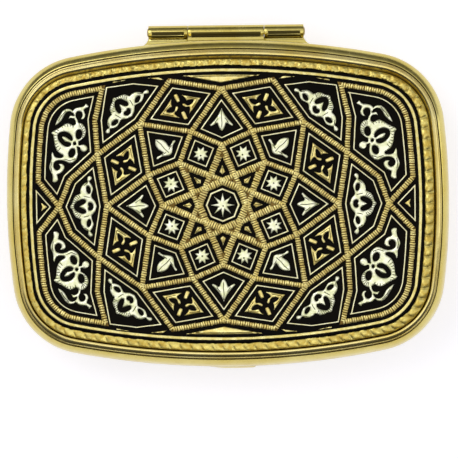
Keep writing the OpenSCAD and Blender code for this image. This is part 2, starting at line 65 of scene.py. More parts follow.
def mm_box(node):
    """Lowest and highest corner of a CAD node, in millimetres."""
    low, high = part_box(node)
    return np.array(low) / MM, np.array(high) / MM


# ---------------------------------------------------------------- sizes taken from the frame, in millimetres

half_w, half_d, base_h = mm_box("base_shell")[1]
lid_bottom, seat_z = (corner[2] for corner in mm_box("lid_shell"))
recess_w, recess_d = mm_box("milled_border")[1][:2]
crest_z = mm_box("lid_bezel")[1][2]
tray_z = mm_box("pill_tray")[1][2]
hinge = next(j for j in frame["joints"] if j["name"] == "lid_hinge")
hinge_y, hinge_z = hinge["pos_m"][1] / MM, hinge["pos_m"][2] / MM
hinge_half = mm_box("base_hinge_leaf")[1][0]
knuckle_half = mm_box("lid_hinge_leaf")[1][0]
knuckle_r = mm_box("base_hinge_leaf")[1][1] - hinge_y
plate_low, plate_high = mm_box("plaque_plate")
plate_z = plate_high[2]
border_w = recess_w - (plate_high[0] - plate_low[0]) / 2
PLATE_AT = (plate_high[:2] + plate_low[:2]) / 2

# radii of the corners, the bowed long walls and the bowed short walls: the case's, then the plaque recess's
CORNER_R, LONG_R, SIDE_R = 9.7, 104, 90
RECESS_R, RECESS_LONG_R, RECESS_SIDE_R = 7.5, LONG_R - 2, SIDE_R - 2
# how far in from the case outline the lid's groove and the collar's outer face lie
GROOVE_IN, COLLAR_IN = 1.12, half_w - mm_box("base_collar")[1][0]


# ---------------------------------------------------------------- outlines

def arc(centre, r, a0, a1, n):
    a = np.linspace(a0, a1, n + 1)
    return np.c_[centre[0] + r * np.cos(a), centre[1] + r * np.sin(a)]


def corner_centre(hw, hd, r, rl, rs):
    """Centre of the corner arc of radius r that touches the long wall's arc and the short wall's arc."""
    c1, c2 = np.array([0, hd - rl]), np.array([hw - rs, 0])
    d1, d2, u = rl - r, rs - r, c2 - c1
    length = norm(u)
    p = (d1 * d1 - d2 * d2 + length * length) / (2 * length)
    h = sqrt(d1 * d1 - p * p)
    return c1 + p * u / length + h * np.array([u[1], -u[0]]) / length


def quarter(hw, hd, r, rl, rs):
    """The outline from the +X side to the +Y side: short wall, corner, long wall."""
    cc = corner_centre(hw, hd, r, rl, rs)
    a1 = atan2(cc[1] - (hd - rl), cc[0])
    a2 = atan2(cc[1], cc[0] - (hw - rs))
    return np.vstack([arc((hw - rs, 0), rs, 0, a2, 10)[:-1], arc(cc, r, a2, a1, 26)[:-1],
                      arc((0, hd - rl), rl, a1, pi / 2, 22)])


def closed(q):
    """The whole outline from its first quarter."""
    return np.vstack([q[:-1], (q * [-1, 1])[::-1][:-1], (q * [-1, -1])[:-1], (q * [1, -1])[::-1][:-1]])


def case_loop(d):
    """The case outline, moved inwards by d."""
    return closed(quarter(half_w - d, half_d - d, CORNER_R - d, LONG_R - d, SIDE_R - d))


def plaque_quarter(d):
    return quarter(recess_w - d, recess_d - d, RECESS_R - d, RECESS_LONG_R - d, RECESS_SIDE_R - d)


def plaque_loop(d):
    """The outline of the plaque's recess, moved inwards by d."""
    return closed(plaque_quarter(d))


def plate_loop(d):
    """The same outline about the middle of the plate, which is set a little off centre."""
    return plaque_loop(d) + PLATE_AT


def bezel_loop(t):
    """Outlines from the groove of the lid (t = 0) to the recess (t = 1)."""
    return case_loop(GROOVE_IN) * (1 - t) + plaque_loop(0) * t


def wall_y(d, xs, side):
    """Where the case outline, moved inwards by d, runs at each x: in front (side -1) or behind (side 1)."""
    loop = case_loop(d)
    loop = loop[side * loop[:, 1] > half_d / 2]
    loop = loop[np.argsort(loop[:, 0])]
    return np.interp(xs, loop[:, 0], loop[:, 1])


def along(line):
    """Distance along a line to each of its points."""
    return np.r_[0, np.cumsum(norm(np.diff(line, axis=0), axis=1))]


def spaced(loops, n):
    """The same loops resampled to n columns, evenly spaced along the first of them."""
    s = along(np.vstack([loops[0], loops[0][:1]]))
    index = np.arange(len(s))
    at = np.interp(np.linspace(0, s[-1], n, endpoint=False), s, index)
    rings = [np.vstack([loop, loop[:1]]) for loop in loops]
    return [np.c_[np.interp(at, index, ring[:, 0]), np.interp(at, index, ring[:, 1])] for ring in rings]


def subdivided(loop, step, sealed=True, like=None):
    """A polyline with extra points, so that no piece of it (or of the outline like) is longer than step."""
    loop = np.asarray(loop, float)
    like = loop if like is None else like
    out = []
    for i in range(len(loop) if sealed else len(loop) - 1):
        j = (i + 1) % len(loop)
        n = max(1, int(ceil(norm(like[j] - like[i]) / step)))
        out += [loop[i] + (loop[j] - loop[i]) * k / n for k in range(n)]
    return np.array(out if sealed else out + [loop[-1]])


def clip(poly, axis, value, keep_above):
    """A convex outline cut by a line of constant x (axis 0) or y (axis 1)."""
    out = []
    for p, q in zip(poly, np.roll(poly, -1, 0)):
        inside_p, inside_q = (p[axis] >= value) == keep_above, (q[axis] >= value) == keep_above
        if inside_p:
            out.append(p)
        if inside_p != inside_q:
            out.append(p + (value - p[axis]) / (q[axis] - p[axis]) * (q - p))
    return np.array(out)


def inset(poly, d):
    """An outline with every side moved inwards by d and mitred corners."""
    poly = np.asarray(poly, float)
    prev, nxt = np.roll(poly, 1, 0), np.roll(poly, -1, 0)
    turn = np.sign(np.sum(poly[:, 0] * nxt[:, 1] - poly[:, 1] * nxt[:, 0]))
    e0, e1 = poly - prev, nxt - poly
    n0 = turn * np.c_[-e0[:, 1], e0[:, 0]] / norm(e0, axis=1)[:, None]
    n1 = turn * np.c_[-e1[:, 1], e1[:, 0]] / norm(e1, axis=1)[:, None]
    return poly + d * (n0 + n1) / (1 + np.sum(n0 * n1, axis=1))[:, None]


def inside(points, loops):
    """Even-odd test of points against a set of closed outlines."""
    hit = np.zeros(len(points), bool)
    for loop in loops:
        for (x0, y0), (x1, y1) in zip(loop, np.roll(loop, -1, 0)):
            if y0 != y1:
                hit ^= ((y0 > points[:, 1]) != (y1 > points[:, 1])) & (
                    points[:, 0] < (x1 - x0) * (points[:, 1] - y0) / (y1 - y0) + x0)
    return hit


def distance(points, loops):
    """Distance of each point to the nearest side of the outlines."""
    a = np.vstack(loops)
    b = np.vstack([np.roll(loop, -1, 0) for loop in loops])
    d = b - a
    best = np.full(len(points), 1e9)
    for k in range(0, len(a), 200):
        aa, dd = a[None, k:k + 200], d[None, k:k + 200]
        t = np.clip(np.sum((points[:, None] - aa) * dd, 2) / np.maximum(np.sum(dd * dd, 2), 1e-12), 0, 1)
        gap = norm(points[:, None] - (aa + t[..., None] * dd), axis=2)
        best = np.minimum(best, gap.min(1))
    return best


def deep_inside(points, loops, gap):
    """The points that lie inside the outlines, further than gap from every side."""
    points = points[inside(points, loops)]
    return points[distance(points, loops) > gap]


# ---------------------------------------------------------------- meshes

def build(name, verts, faces, look, body, node=None, marks=None, flow=None, crease=38):
    """One piece from vertices in millimetres, shaded smooth except at edges sharper than crease."""
    material, slot = look
    mesh = bpy.data.meshes.new(name)
    mesh.from_pydata((np.asarray(verts, float) * MM).tolist(), [], faces)
    for key, values in (marks or {}).items():
        mesh.attributes.new(key, "FLOAT", "POINT").data.foreach_set("value", np.asarray(values, np.float32))
    if flow is not None:
        mesh.attributes.new("flow", "FLOAT_VECTOR", "POINT").data.foreach_set(
            "vector", np.asarray(flow, np.float32).ravel())
    bm = bmesh.new()
    bm.from_mesh(mesh)
    bmesh.ops.recalc_face_normals(bm, faces=bm.faces)
    for f in bm.faces:
        f.smooth = True
    for e in bm.edges:
        if len(e.link_faces) == 2 and e.calc_face_angle(0) > radians(crease):
            e.smooth = False
    bm.to_mesh(mesh)
    bm.free()
    piece = bpy.data.objects.new(name, mesh)
    bpy.context.scene.collection.objects.link(piece)
    mesh.materials.append(material)
    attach(piece, body)
    if node:
        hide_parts(node)


def build_joined(name, parts, look, body, node, crease):
    """One piece from parts, each a list of vertices, faces, dark marks for tarnish and painted shade and, for foils,
    tint marks.
    """
    verts, faces = [], []
    for part in parts:
        start = len(verts)
        verts.extend(np.asarray(part[0]).tolist())
        faces.extend(tuple(i + start for i in face) for face in part[1])
    marks = {key: np.concatenate(values) for key, values in zip(("grime_and_shade", "tint"), list(zip(*parts))[2:])}
    build(name, verts, faces, look, body, node, marks, crease=crease)


def foils(name, parts, look, node=None):
    build_joined(name, parts, look, "lid", node, 50)


def tube(m, n, joined=False, first=0):
    """Faces of m rings of n points each: the last ring joined to the first, or both ends capped."""
    faces = []
    for i in range(m if joined else m - 1):
        a, b = first + i * n, first + (i + 1) % m * n
        faces += [(a + j, b + j, b + (j + 1) % n, a + (j + 1) % n) for j in range(n)]
    if not joined:
        faces += [tuple(range(first + n - 1, first - 1, -1)), tuple(range(first + (m - 1) * n, first + m * n))]
    return faces


def ring_rows(profile, loop):
    """Rows of a profile of (inset, height, dark mark for tarnish and painted shade, or nothing) carried round a
    family of loops.
    """
    rows = [np.c_[loop(p[0]), np.full(len(loop(p[0])), p[1])] for p in profile]
    return rows, [p[2] if len(p) > 2 else 0 for p in profile]


def moved(d, z, profile):
    """Profile rows that are given from a point at inset d and height z."""
    return [(d + row[0], z + row[1], *row[2:]) for row in profile]


def sweep(name, rows_and_marks, look, body, node, joined=False):
    """A capped solid, or a closed band, through loops of equal length, with coordinates that flow along it."""
    rows, grime_and_shade = rows_and_marks
    m, n = len(rows), len(rows[0])
    s = along(rows[0][:, :2])
    total = s[-1] + norm(rows[0][0, :2] - rows[0][-1, :2])
    around = np.c_[np.cos(2 * pi * s / total), np.sin(2 * pi * s / total)] * total / (2 * pi)
    across = along(np.array([row[0] for row in rows]))
    flow = np.vstack([np.c_[around, np.full(n, v)] for v in across])
    build(name, np.vstack(rows), tube(m, n, joined), look, body, node, {"grime_and_shade": np.repeat(grime_and_shade, n)}, flow)


# ---------------------------------------------------------------- materials

class Nodes:
    """Short words for the nodes of one tree."""

    def __init__(self, tree):
        self.tree = tree

    def feed(self, node, inputs):
        for key, value in inputs.items():
            socket = node.inputs[key]
            if isinstance(value, bpy.types.NodeSocket):
                self.tree.links.new(value, socket)
            else:
                socket.default_value = value

    def node(self, kind, inputs, **props):
        n = self.tree.nodes.new(kind)
        for key, value in props.items():
            setattr(n, key, value)
        self.feed(n, inputs)
        return n


class Shade(Nodes):
    """A Principled material, the slot it is made for, and short words for what feeds it."""

    def __init__(self, name, slot=None, **sockets):
        self.mat = bpy.data.materials.new(name)
        self.mat.use_nodes = True
        self.slot = slot or name
        super().__init__(self.mat.node_tree)
        self.set(**sockets)

    def set(self, **sockets):
        """Feeds the shader and gives the finished look: the material and its slot."""
        self.feed(self.tree.nodes["Principled BSDF"], {k.replace("_", " "): v for k, v in sockets.items()})
        return self.mat, self.slot

    def scaled(self, source, scale):
        return self.node("ShaderNodeMapping", {"Vector": source, "Scale": scale}).outputs[0]

    def place(self, scale=(1, 1, 1)):
        """Coordinates on the object in millimetres."""
        source = self.node("ShaderNodeTexCoord", {}).outputs["Object"]
        return self.scaled(source, [1000 * v for v in scale])

    def mark(self, name, output="Fac"):
        return self.node("ShaderNodeAttribute", {}, attribute_name=name).outputs[output]

    def noise(self, scale, detail=3, rough=0.5, twist=0, where=None):
        return self.node("ShaderNodeTexNoise", {"Vector": where or self.place(), "Scale": scale, "Detail": detail,
                                                "Roughness": rough, "Distortion": twist}).outputs["Fac"]

    def span(self, value, low, high, out_low=0, out_high=1):
        return self.node("ShaderNodeMapRange", {"Value": value, "From Min": low, "From Max": high,
                                                "To Min": out_low, "To Max": out_high}).outputs[0]

    def times(self, a, b):
        return self.node("ShaderNodeMath", {0: a, 1: b}, operation="MULTIPLY").outputs[0]

    def plus(self, a, b):
        return self.node("ShaderNodeMath", {0: a, 1: b}, operation="ADD").outputs[0]

    def mix(self, a, b, fac):
        """Two colours mixed, each a socket or an 8-bit sRGB colour."""
        a, b = (rgb(*c) if isinstance(c, tuple) else c for c in (a, b))
        return self.node("ShaderNodeMix", {0: fac, 6: a, 7: b}, data_type="RGBA").outputs[2]

    def bump(self, height, distance, normal=None):
        inputs = {"Height": height, "Distance": distance * MM, "Strength": 1}
        if normal is not None:
            inputs["Normal"] = normal
        return self.node("ShaderNodeBump", inputs).outputs[0]


def rgb(r, g, b):
    """Linear colour of an 8-bit sRGB colour."""
    def lin(v):
        v /= 255
        return v / 12.92 if v <= 0.04045 else ((v + 0.055) / 1.055) ** 2.4
    return (lin(r), lin(g), lin(b), 1)


def swept_gold(name, pale, warm, dark, rough, fine):
    """Polished gilt metal: polishing lines along the band, small dents, and tarnish with painted shade in the
    grooves.
    """
    s = Shade(name, Metallic=1)
    lines = s.noise(1, 6, 0.65, where=s.scaled(s.mark("flow", "Vector"), (0.12, 0.12, 9)))
    tone = s.mix(pale, warm, s.span(s.noise(0.16, 4, 0.6), 0.36, 0.66))
    tone = s.mix(tone, dark, s.times(s.span(lines, 0.56, 0.8), 0.35))
    tone = s.mix(tone, dark, s.times(s.span(s.noise(3.2, 2, 0.6), 0.62, 0.74), 0.25))
    # tarnish and painted shade: the dark mark turns grooves, coves, steep slopes and hidden faces dark brown
    tone = s.mix(tone, (26, 17, 6), s.mark("grime_and_shade"))
    rough_out = s.span(s.noise(0.9, 5, 0.7), 0.35, 0.7, *rough)
    rough_out = s.plus(rough_out, s.times(s.mark("grime_and_shade"), 0.35))
    dents = s.bump(s.noise(0.55, 2), fine * 4)
    return s.set(Base_Color=tone, Roughness=rough_out, Normal=s.bump(lines, fine, dents))


def foil(name, slot, pale, mid, dark, scale, rough, relief):
    """Beaten foil: soft facets, a darker tone in the creases as painted shade, and each laid piece with its own tint.
    """
    s = Shade(name, slot, Metallic=1)
    beaten, grain = s.noise(scale, 3, 0.55, 0.6), s.noise(9, 3, 0.6)
    tone = s.mix(pale, mid, s.span(beaten, 0.42, 0.62))
    tone = s.mix(tone, dark, s.times(s.span(grain, 0.6, 0.78), 0.5))
    tone = s.mix(tone, mid, s.span(s.mark("tint"), 0.5, 1, 0, 0.6))
    tone = s.mix(tone, dark, s.span(s.mark("tint"), 0.5, 0, 0, 0.5))
    # painted shade: the dark mark darkens chased lines, punched pits, and the chisel marks and sloping edges of the
    # milled ring
    tone = s.mix(tone, (30, 22, 12), s.mark("grime_and_shade"))
    height = s.plus(beaten, s.times(grain, 0.25))
    return s.set(Base_Color=tone, Roughness=s.span(beaten, 0.3, 0.7, *rough), Normal=s.bump(height, relief))


def black_steel():
    """Oxidised steel between the inlays: fine cross-cut ground, nearly matt, with a brown cast."""
    s = Shade("black_steel", Metallic=0, Specular_IOR_Level=0.05)
    cut = s.noise(7, 4, 0.7)
    scratch = s.noise(1, 3, 0.6, where=s.place((0.5, 9, 1)))
    tone = s.mix((4, 2, 0), (13, 8, 1), s.span(s.noise(0.35, 4, 0.6), 0.35, 0.7))
    tone = s.mix(tone, (26, 18, 6), s.span(cut, 0.68, 0.86))
    return s.set(Base_Color=tone, Roughness=s.span(cut, 0.3, 0.7, 0.3, 0.55),
                 Normal=s.bump(s.plus(cut, scratch), 0.008))


def tray_plastic():
    """Cream moulded plastic with a fine orange peel and painted shade down the pockets."""
    s = Shade("tray_plastic", Metallic=0, Specular_IOR_Level=0.45, Subsurface_Weight=0.08,
              Subsurface_Scale=0.002)
    orange_peel = s.noise(4.5, 2)
    tone = s.mix((238, 231, 214), (228, 219, 198), s.span(s.noise(0.12), 0.35, 0.7))
    # painted shade from the dark mark, deepest where the pocket walls meet their floors
    tone = s.mix(tone, (205, 192, 165), s.times(s.mark("grime_and_shade"), 0.6))
    return s.set(Base_Color=tone, Roughness=s.span(orange_peel, 0.3, 0.7, 0.32, 0.46),
                 Normal=s.bump(orange_peel, 0.004))


def mirror_glass():
    """Silvered glass with a little haze and dust, and painted shade at its hidden edge."""
    s = Shade("mirror_glass", Metallic=1, Coat_Weight=1, Coat_Roughness=0.02)
    haze = s.noise(0.14, 5, 0.65)
    dust = s.span(s.noise(2.4, 3, 0.7), 0.68, 0.8)
    tone = s.mix((226, 231, 230), (214, 221, 219), s.span(haze, 0.35, 0.7))
    tone = s.mix(tone, (180, 185, 180), s.times(dust, 0.3))
    # painted shade from the dark mark at the edge hidden under the frame
    tone = s.mix(tone, (60, 66, 64), s.mark("grime_and_shade"))
    return s.set(Base_Color=tone, Roughness=s.plus(s.span(haze, 0.3, 0.8, 0.015, 0.05), s.times(dust, 0.1)))


def pad_foam():
    s = Shade("pad_foam", Metallic=0, Specular_IOR_Level=0.2)
    pores = s.node("ShaderNodeTexVoronoi", {"Vector": s.place(), "Scale": 2.5}).outputs["Distance"]
    return s.set(Base_Color=s.mix((60, 56, 52), (30, 28, 26), s.span(pores, 0.1, 0.6)),
                 Roughness=s.span(pores, 0, 1, 0.8, 0.95), Normal=s.bump(pores, 0.05))


def turned_metal(name, light, dark):
    """Metal with fine turning marks around x."""
    s = Shade(name, Metallic=1)
    turn = s.noise(1, 4, 0.6, where=s.place((14, 1, 1)))
    tone = s.mix(light, dark, s.span(turn, 0.45, 0.75))
    tone = s.mix(tone, (50, 40, 24), s.times(s.span(s.noise(1.1), 0.55, 0.75), 0.5))
    return s.set(Base_Color=tone, Roughness=s.span(turn, 0.3, 0.7, 0.16, 0.36), Normal=s.bump(turn, 0.004))


GILT_CASE = swept_gold("gilt_case", (214, 200, 124), (202, 182, 94), (136, 108, 46), (0.14, 0.3), 0.004)
GILT_RIM = swept_gold("gilt_rim", (224, 210, 144), (208, 186, 106), (130, 100, 44), (0.1, 0.22), 0.003)
# name, slot, three tones, size of the facets, roughness, relief
MILLED, GOLD_FOIL, SHADED_GOLD_BED, EDGE_FOIL, LINE_FOIL, SILVER_FOIL = [foil(*row) for row in (
    ("milled_gilt", None, (218, 202, 116), (202, 174, 80), (162, 120, 50), 1.5, (0.26, 0.46), 0.03),
    ("gold_foil", None, (248, 234, 158), (232, 210, 124), (170, 140, 70), 1.4, (0.24, 0.44), 0.015),
    # the bed is a darker copy of the gold foil, painted shade between the hatching bars
    ("shaded_gold_bed", "gold_foil", (126, 102, 52), (102, 80, 38), (68, 50, 22), 1.4, (0.4, 0.6), 0.01),
    ("edge_foil", "gold_foil", (242, 230, 158), (226, 208, 122), (164, 140, 66), 1.3, (0.24, 0.44), 0.012),
    ("line_foil", "gold_foil", (248, 244, 202), (238, 228, 172), (192, 174, 114), 1.2, (0.25, 0.42), 0.01),
    ("silver_foil", None, (250, 250, 222), (236, 238, 190), (176, 180, 116), 1.1, (0.26, 0.5), 0.03))]
BLACK, PLASTIC, MIRROR = black_steel(), tray_plastic(), mirror_glass()
STEEL = turned_metal("pin_steel", (176, 156, 96), (120, 100, 56))
BRASS = turned_metal("spring_brass", (222, 190, 110), (178, 138, 66))


# ---------------------------------------------------------------- base

def base_shell():
    """Pressed case with a rolled foot, a shallow pressed panel underneath and a soft rim."""
    foot_r, wall = 2, COLLAR_IN
    # the third number of a row is the dark mark: painted shade at the pressed panel's step and on the hidden inner
    # wall
    rows = [(8, 0.35), (7, 0.34), (6.6, 0.26, 0.1), (6.2, 0.1), (5.9, 0.03), (5.2, 0), (2.6, 0)]
    rows += [(foot_r * (1 - sin(a)), foot_r * (1 - cos(a))) for a in np.linspace(0, pi / 2, 9)]
    rows += moved(0, base_h, [(0, -0.9), (0, -0.12), (0.04, -0.04), (0.12, 0)])
    rows += moved(wall, base_h, [(-0.12, 0), (0, -0.1, 0.3), (0, -0.6, 0.2)]) + [(wall, foot_r, 0.2)]
    for a in np.linspace(0, pi / 2, 5)[1:]:
        rows.append((foot_r - (foot_r - wall) * cos(a), foot_r - (foot_r - wall) * sin(a), 0.2))
    sweep("base_case", ring_rows(rows, case_loop), GILT_CASE, "base", "base_shell")


def base_collar():
    """Thin inner rim with a rolled top edge and a fine score below it."""
    d0, d1 = COLLAR_IN, COLLAR_IN + 0.4
    low, high = (corner[2] for corner in mm_box("base_collar"))
    # the third number of a row is the dark mark: painted shade in the score and down the faces below the rolled top
    rows = [(d0, low)] + moved(d0, base_h, [(0, 0.35, 0.3), (0, 0.8)])
    rows += moved(d0, high, [(0, -0.5), (0.05, -0.42, 0.25), (0, -0.34), (0.01, -0.14), (0.07, -0.04), (0.18, 0)])
    rows += moved(d1, high, [(-0.1, -0.02), (-0.01, -0.12), (0, -0.3)])
    rows += [(d1, tray_z + 0.1, 0.35), (d1, low, 0.5)]
    sweep("collar_rim", ring_rows(rows, case_loop), GILT_RIM, "base", "base_collar", joined=True)


def wall_bump(name, look, body, node, d, columns, section):
    """A bump along the front wall: section(t) lists how far out and how tall it is, for t from -1 to 1."""
    low, high = mm_box(node)
    xs = np.linspace(low[0], high[0], columns)
    mid, half = (low[2] + high[2]) / 2, (high[2] - low[2]) / 2
    verts = []
    for x, y in zip(xs, wall_y(d, xs, -1)):
        verts += [(x, y - out, mid + half * tall) for out, tall in section(x / high[0])]
    build(name, verts, tube(columns, len(verts) // columns), look, body, node)


def snap_catch():
    """Small sprung bump with tapered ends, on the front of the collar."""
    d = COLLAR_IN - 0.02
    proud = wall_y(d, 0, -1) - mm_box("snap_catch")[0][1]

    def section(t):
        lift = sqrt(max(1 - t ** 4, 0))
        return [(proud * lift * sin(a), cos(a) * (0.35 + 0.65 * lift)) for a in np.linspace(0, pi, 8)]
    wall_bump("snap_spring", BRASS, "base", "snap_catch", d, 33, section)


def pill_tray():
    """Moulded insert: a rim with three pockets, each with soft corners and a filleted floor."""
    low = mm_box("pill_tray")[0][2]
    outer_in, pocket_in, floor_z, div_y, half_div = 1.35, 2.25, 1.5, 1.5, 0.4
    area = case_loop(pocket_in)
    front = clip(area, 1, div_y - half_div, False)
    verts, faces, grime_and_shade, rims = [], [], [], []

    def shell(rings, marks, cap):
        """Adds a tube of rings, capped at its first (0) or last (-1) ring and open at the tray's flat rim."""
        first, m, n = len(verts), len(rings), len(rings[0])
        for ring, c in zip(rings, marks):
            verts.extend(ring.tolist())
            grime_and_shade.extend([c] * n)
        faces.extend(tube(m, n, first=first))
        faces.pop(-1 if cap == 0 else -2)
        start = first if cap else first + (m - 1) * n
        rims.append(range(start, start + n))

    def at(loop, z):
        return np.c_[loop, np.full(len(loop), z)]

    # the dark marks paint shade: 0.3 on the hidden outer wall, and down each pocket, darkest at the filleted floor
    outer = spaced([case_loop(outer_in)], 240)[0]
    shell([at(inset(outer, d), z) for d, z in
           ((0.75, low), (0.75, floor_z - 0.45), (0.35, floor_z - 0.1), (0.05, floor_z + 0.5), (0, floor_z + 1),
            (0, tray_z - 0.3), (0.06, tray_z - 0.1), (0.2, tray_z))], [0.3] * 8, 0)
    for pocket in (clip(area, 1, div_y + half_div, True), clip(front, 0, -half_div, False),
                   clip(front, 0, half_div, True)):
        rim = spaced([pocket], 200)[0]
        for _ in range(26):
            rim = (np.roll(rim, 1, 0) + 2 * rim + np.roll(rim, -1, 0)) / 4
        rings = [at(inset(rim, d), z) for d, z in
                 ((-0.02, tray_z), (0.06, tray_z - 0.05), (0.14, tray_z - 0.2), (0.18, tray_z - 0.6),
                  (0.3, floor_z + 1.2), (0.5, floor_z + 0.5), (0.8, floor_z + 0.12), (1.15, floor_z + 0.02))]
        foot = rings[-1][:, :2]
        rings.append(at(foot.mean(axis=0) + 0.85 * (foot - foot.mean(axis=0)), floor_z))
        shell(rings, [0, 0, 0.1, 0.1, 0.2, 0.4, 0.5, 0.4, 0.15], -1)
    index = [i for rim in rims for i in rim]
    polys = [np.array([verts[i][:2] for i in rim]) for rim in rims]
    _, tris, source = triangulated(np.vstack(polys), ring_edges(polys), polys)
    faces += [tuple(index[source[v][0]] for v in tri) for tri in tris]
    build("tray", verts, faces, PLASTIC, "base", "pill_tray", {"grime_and_shade": grime_and_shade})


def ring_edges(loops):
    """Edges of closed outlines whose points are numbered one after another."""
    edges = []
    for loop in loops:
        k, n = len(edges), len(loop)
        edges += [(k + j, k + (j + 1) % n) for j in range(n)]
    return edges


def triangulated(points, edges, loops):
    """Triangles between the outlines: points, triangles, and the given points that each point comes from."""
    made = geometry.delaunay_2d_cdt([Vector(p) for p in points], edges, [], 0, 1e-5)
    pts = np.array([tuple(v) for v in made[0]])
    tris = np.array([t for t in made[2] if len(t) == 3])
    return pts, tris[inside(pts[tris].mean(1), loops)], made[3]


# ---------------------------------------------------------------- lid

FRONT_BAND = 0.3


def front_share(loop):
    """0 at the back and the sides of a loop, rising to 1 along its front."""
    return np.clip(-1.3 * loop[:, 1:2] / half_d - 0.3, 0, 1)


def lid_shell():
    """Lid pressing: rolled edge, plain wall, a shoulder that is fullest in front, and a groove at the bezel."""
    wall, ceiling, low = 0.5, mm_box("mirror_glass")[1][2], lid_bottom
    # the third number of a row is the dark mark: painted shade on the hidden ceiling and wall inside, and in the
    # groove at the bezel
    rows = [(3, ceiling, 0.3)]
    rows += moved(wall, ceiling, [(0.6, 0, 0.3), (0.22, -0.1, 0.3), (0.04, -0.4, 0.2), (0, -0.9, 0.1)])
    rows += moved(wall, low, [(0, 0.1), (-0.08, 0)])
    rows += moved(0, low, [(0.12, 0, 0.1), (0.03, 0.05), (0, 0.16), (0, 1.2)])
    shoulder_r, shoulder_in, first = 1.6, 0.96, len(rows)
    top, last = seat_z - 0.06, acos(1 - shoulder_in / shoulder_r)
    arcs = np.linspace(0, last, 17)
    rows += [(shoulder_r * (1 - cos(a)), 0) for a in arcs]
    rows += moved(0, top, [(0.98, 0), (1, -0.03, 0.05), (1.02, -0.1, 0.25), (1.06, -0.16, 0.6), (1.2, -0.3, 1)])
    lines, grime_and_shade = ring_rows(rows, case_loop)
    edge = case_loop(0)
    # the shoulder is part of an ellipse, 3.1 mm tall at the sides, 1.15 at the back and 4.15 in front
    behind = np.clip((edge[:, 1] / half_d + 0.6) / 1.6, 0, 1)
    rise = 3.1 - 1.95 * behind ** 2 + 1.05 * front_share(edge)[:, 0]
    for line in lines[first:]:
        line[:, :2] = edge + (line[:, :2] - edge) * (1 + FRONT_BAND * front_share(edge))
    for line, a in zip(lines[first:], arcs):
        line[:, 2] = top - rise * (sin(last) - sin(a))
    # faces hidden under the bezel, fully darkened as painted shade
    for t, z in ((0.2, top - 0.5), (1, top - 0.5), (1, mm_box("plaque_backing")[0][2])):
        lines.append(np.c_[bezel_loop(t), np.full(len(edge), z)])
        grime_and_shade.append(1)
    sweep("lid_case", (lines, grime_and_shade), GILT_CASE, "lid", "lid_shell")


def lid_bezel():
    """Rolled bezel: a narrow lip, a scored line, a bead whose crest drifts inward in front, and a steep step."""
    z0, h = seat_z - 0.2, crest_z - (seat_z - 0.2)
    lip_at, crest_at = 0.12, 0.54
    # the third number of a row is the dark mark: painted shade on the hidden ends, in the scored line and down the
    # steep inner step
    profile = [(-0.03, -0.6, 1), (-0.02, 0.1, 0.6), (0, 0.36, 0.15), (0.03, 0.47), (0.08, 0.53), (0.12, 0.54),
               (0.14, 0.49, 0.4), (0.16, 0.51, 0.4), (0.19, 0.62), (0.26, 0.77), (0.35, 0.9), (0.45, 0.98),
               (0.54, 1), (0.62, 0.98), (0.69, 0.9), (0.75, 0.78, 0.05), (0.8, 0.62, 0.12), (0.85, 0.42, 0.22),
               (0.89, 0.24, 0.34), (0.94, 0.08, 0.5), (0.985, -0.04, 0.8), (1, -0.6, 1)]
    outer, inner = bezel_loop(0), bezel_loop(1)
    y = np.clip(1.2 * outer[:, 1:] / half_d, -1, 1)
    crest = 0.55 - 0.3 * y + 0.075 * y * y
    start = FRONT_BAND * 0.95 * front_share(outer)

    def loop(t):
        if t <= lip_at:
            at = start + t
        elif t < crest_at:
            at = start + lip_at + (crest - start - lip_at) * (t - lip_at) / (crest_at - lip_at)
        else:
            at = 1 - (1 - crest) * (1 - t) / (1 - crest_at)
        return outer + at * (inner - outer)
    rows = [(p[0], z0 + h * p[1], *p[2:]) for p in profile]
    sweep("bezel", ring_rows(rows, loop), GILT_RIM, "lid", "lid_bezel", joined=True)


def thumb_lip():
    """Lip with a rounded front: it swells out of the wall at the left and ends in a short step at the right."""
    out = -half_d - mm_box("thumb_lip")[0][1] - 0.02

    def section(t):
        rise, fall = min(max((t + 1) / 0.9, 0), 1), min(max((0.8 - t) / 0.08, 0), 1)
        reach = out * rise * rise * (3 - 2 * rise) * fall
        return [(0.05 + reach * (0.5 - 0.5 * cos(a)) ** 0.9 * min(1, (pi - a) / 0.54), cos(a))
                for a in np.linspace(0, pi, 12)]
    wall_bump("thumb_catch", GILT_CASE, "lid", "thumb_lip", 0.05, 49, section)


def mirror():
    """Bevelled mirror held in a pressed gilt frame."""
    glass_low, glass_high = mm_box("mirror_glass")
    edge, z0 = half_w - glass_high[0], glass_low[2]
    rows = [(edge, glass_high[2], 0.5)]
    rows += moved(edge, z0, [(0, 0.25, 0.3), (0.05, 0.2, 0.1), (1.1, 0), (1.3, -0.004)])
    sweep("mirror_pane", ring_rows(rows, case_loop), MIRROR, "lid", "mirror_glass")
    (_, _, low), (outer, _, high) = mm_box("mirror_frame")
    d0, d1 = half_w - outer, 4
    # the third number of a row is the dark mark: painted shade on the frame's hidden faces and in its pressed line
    rows = [(d0, high, 0.4)] + moved(d0, low, [(0, 0.35, 0.3), (0.06, 0.14), (0.22, 0.02), (0.5, 0), (0.8, 0.03),
                                               (0.9, 0.07, 0.5), (1, 0.03)])
    rows += moved(d1, low, [(-0.3, 0), (-0.06, 0.03), (0, 0.12)])
    rows += [(d1 - 0.02, z0, 0.6), (edge, z0 + 0.02, 0.9), (edge, high, 0.9)]
    sweep("mirror_bezel", ring_rows(rows, case_loop), GILT_RIM, "lid", "mirror_frame", joined=True)


# ---------------------------------------------------------------- hinge

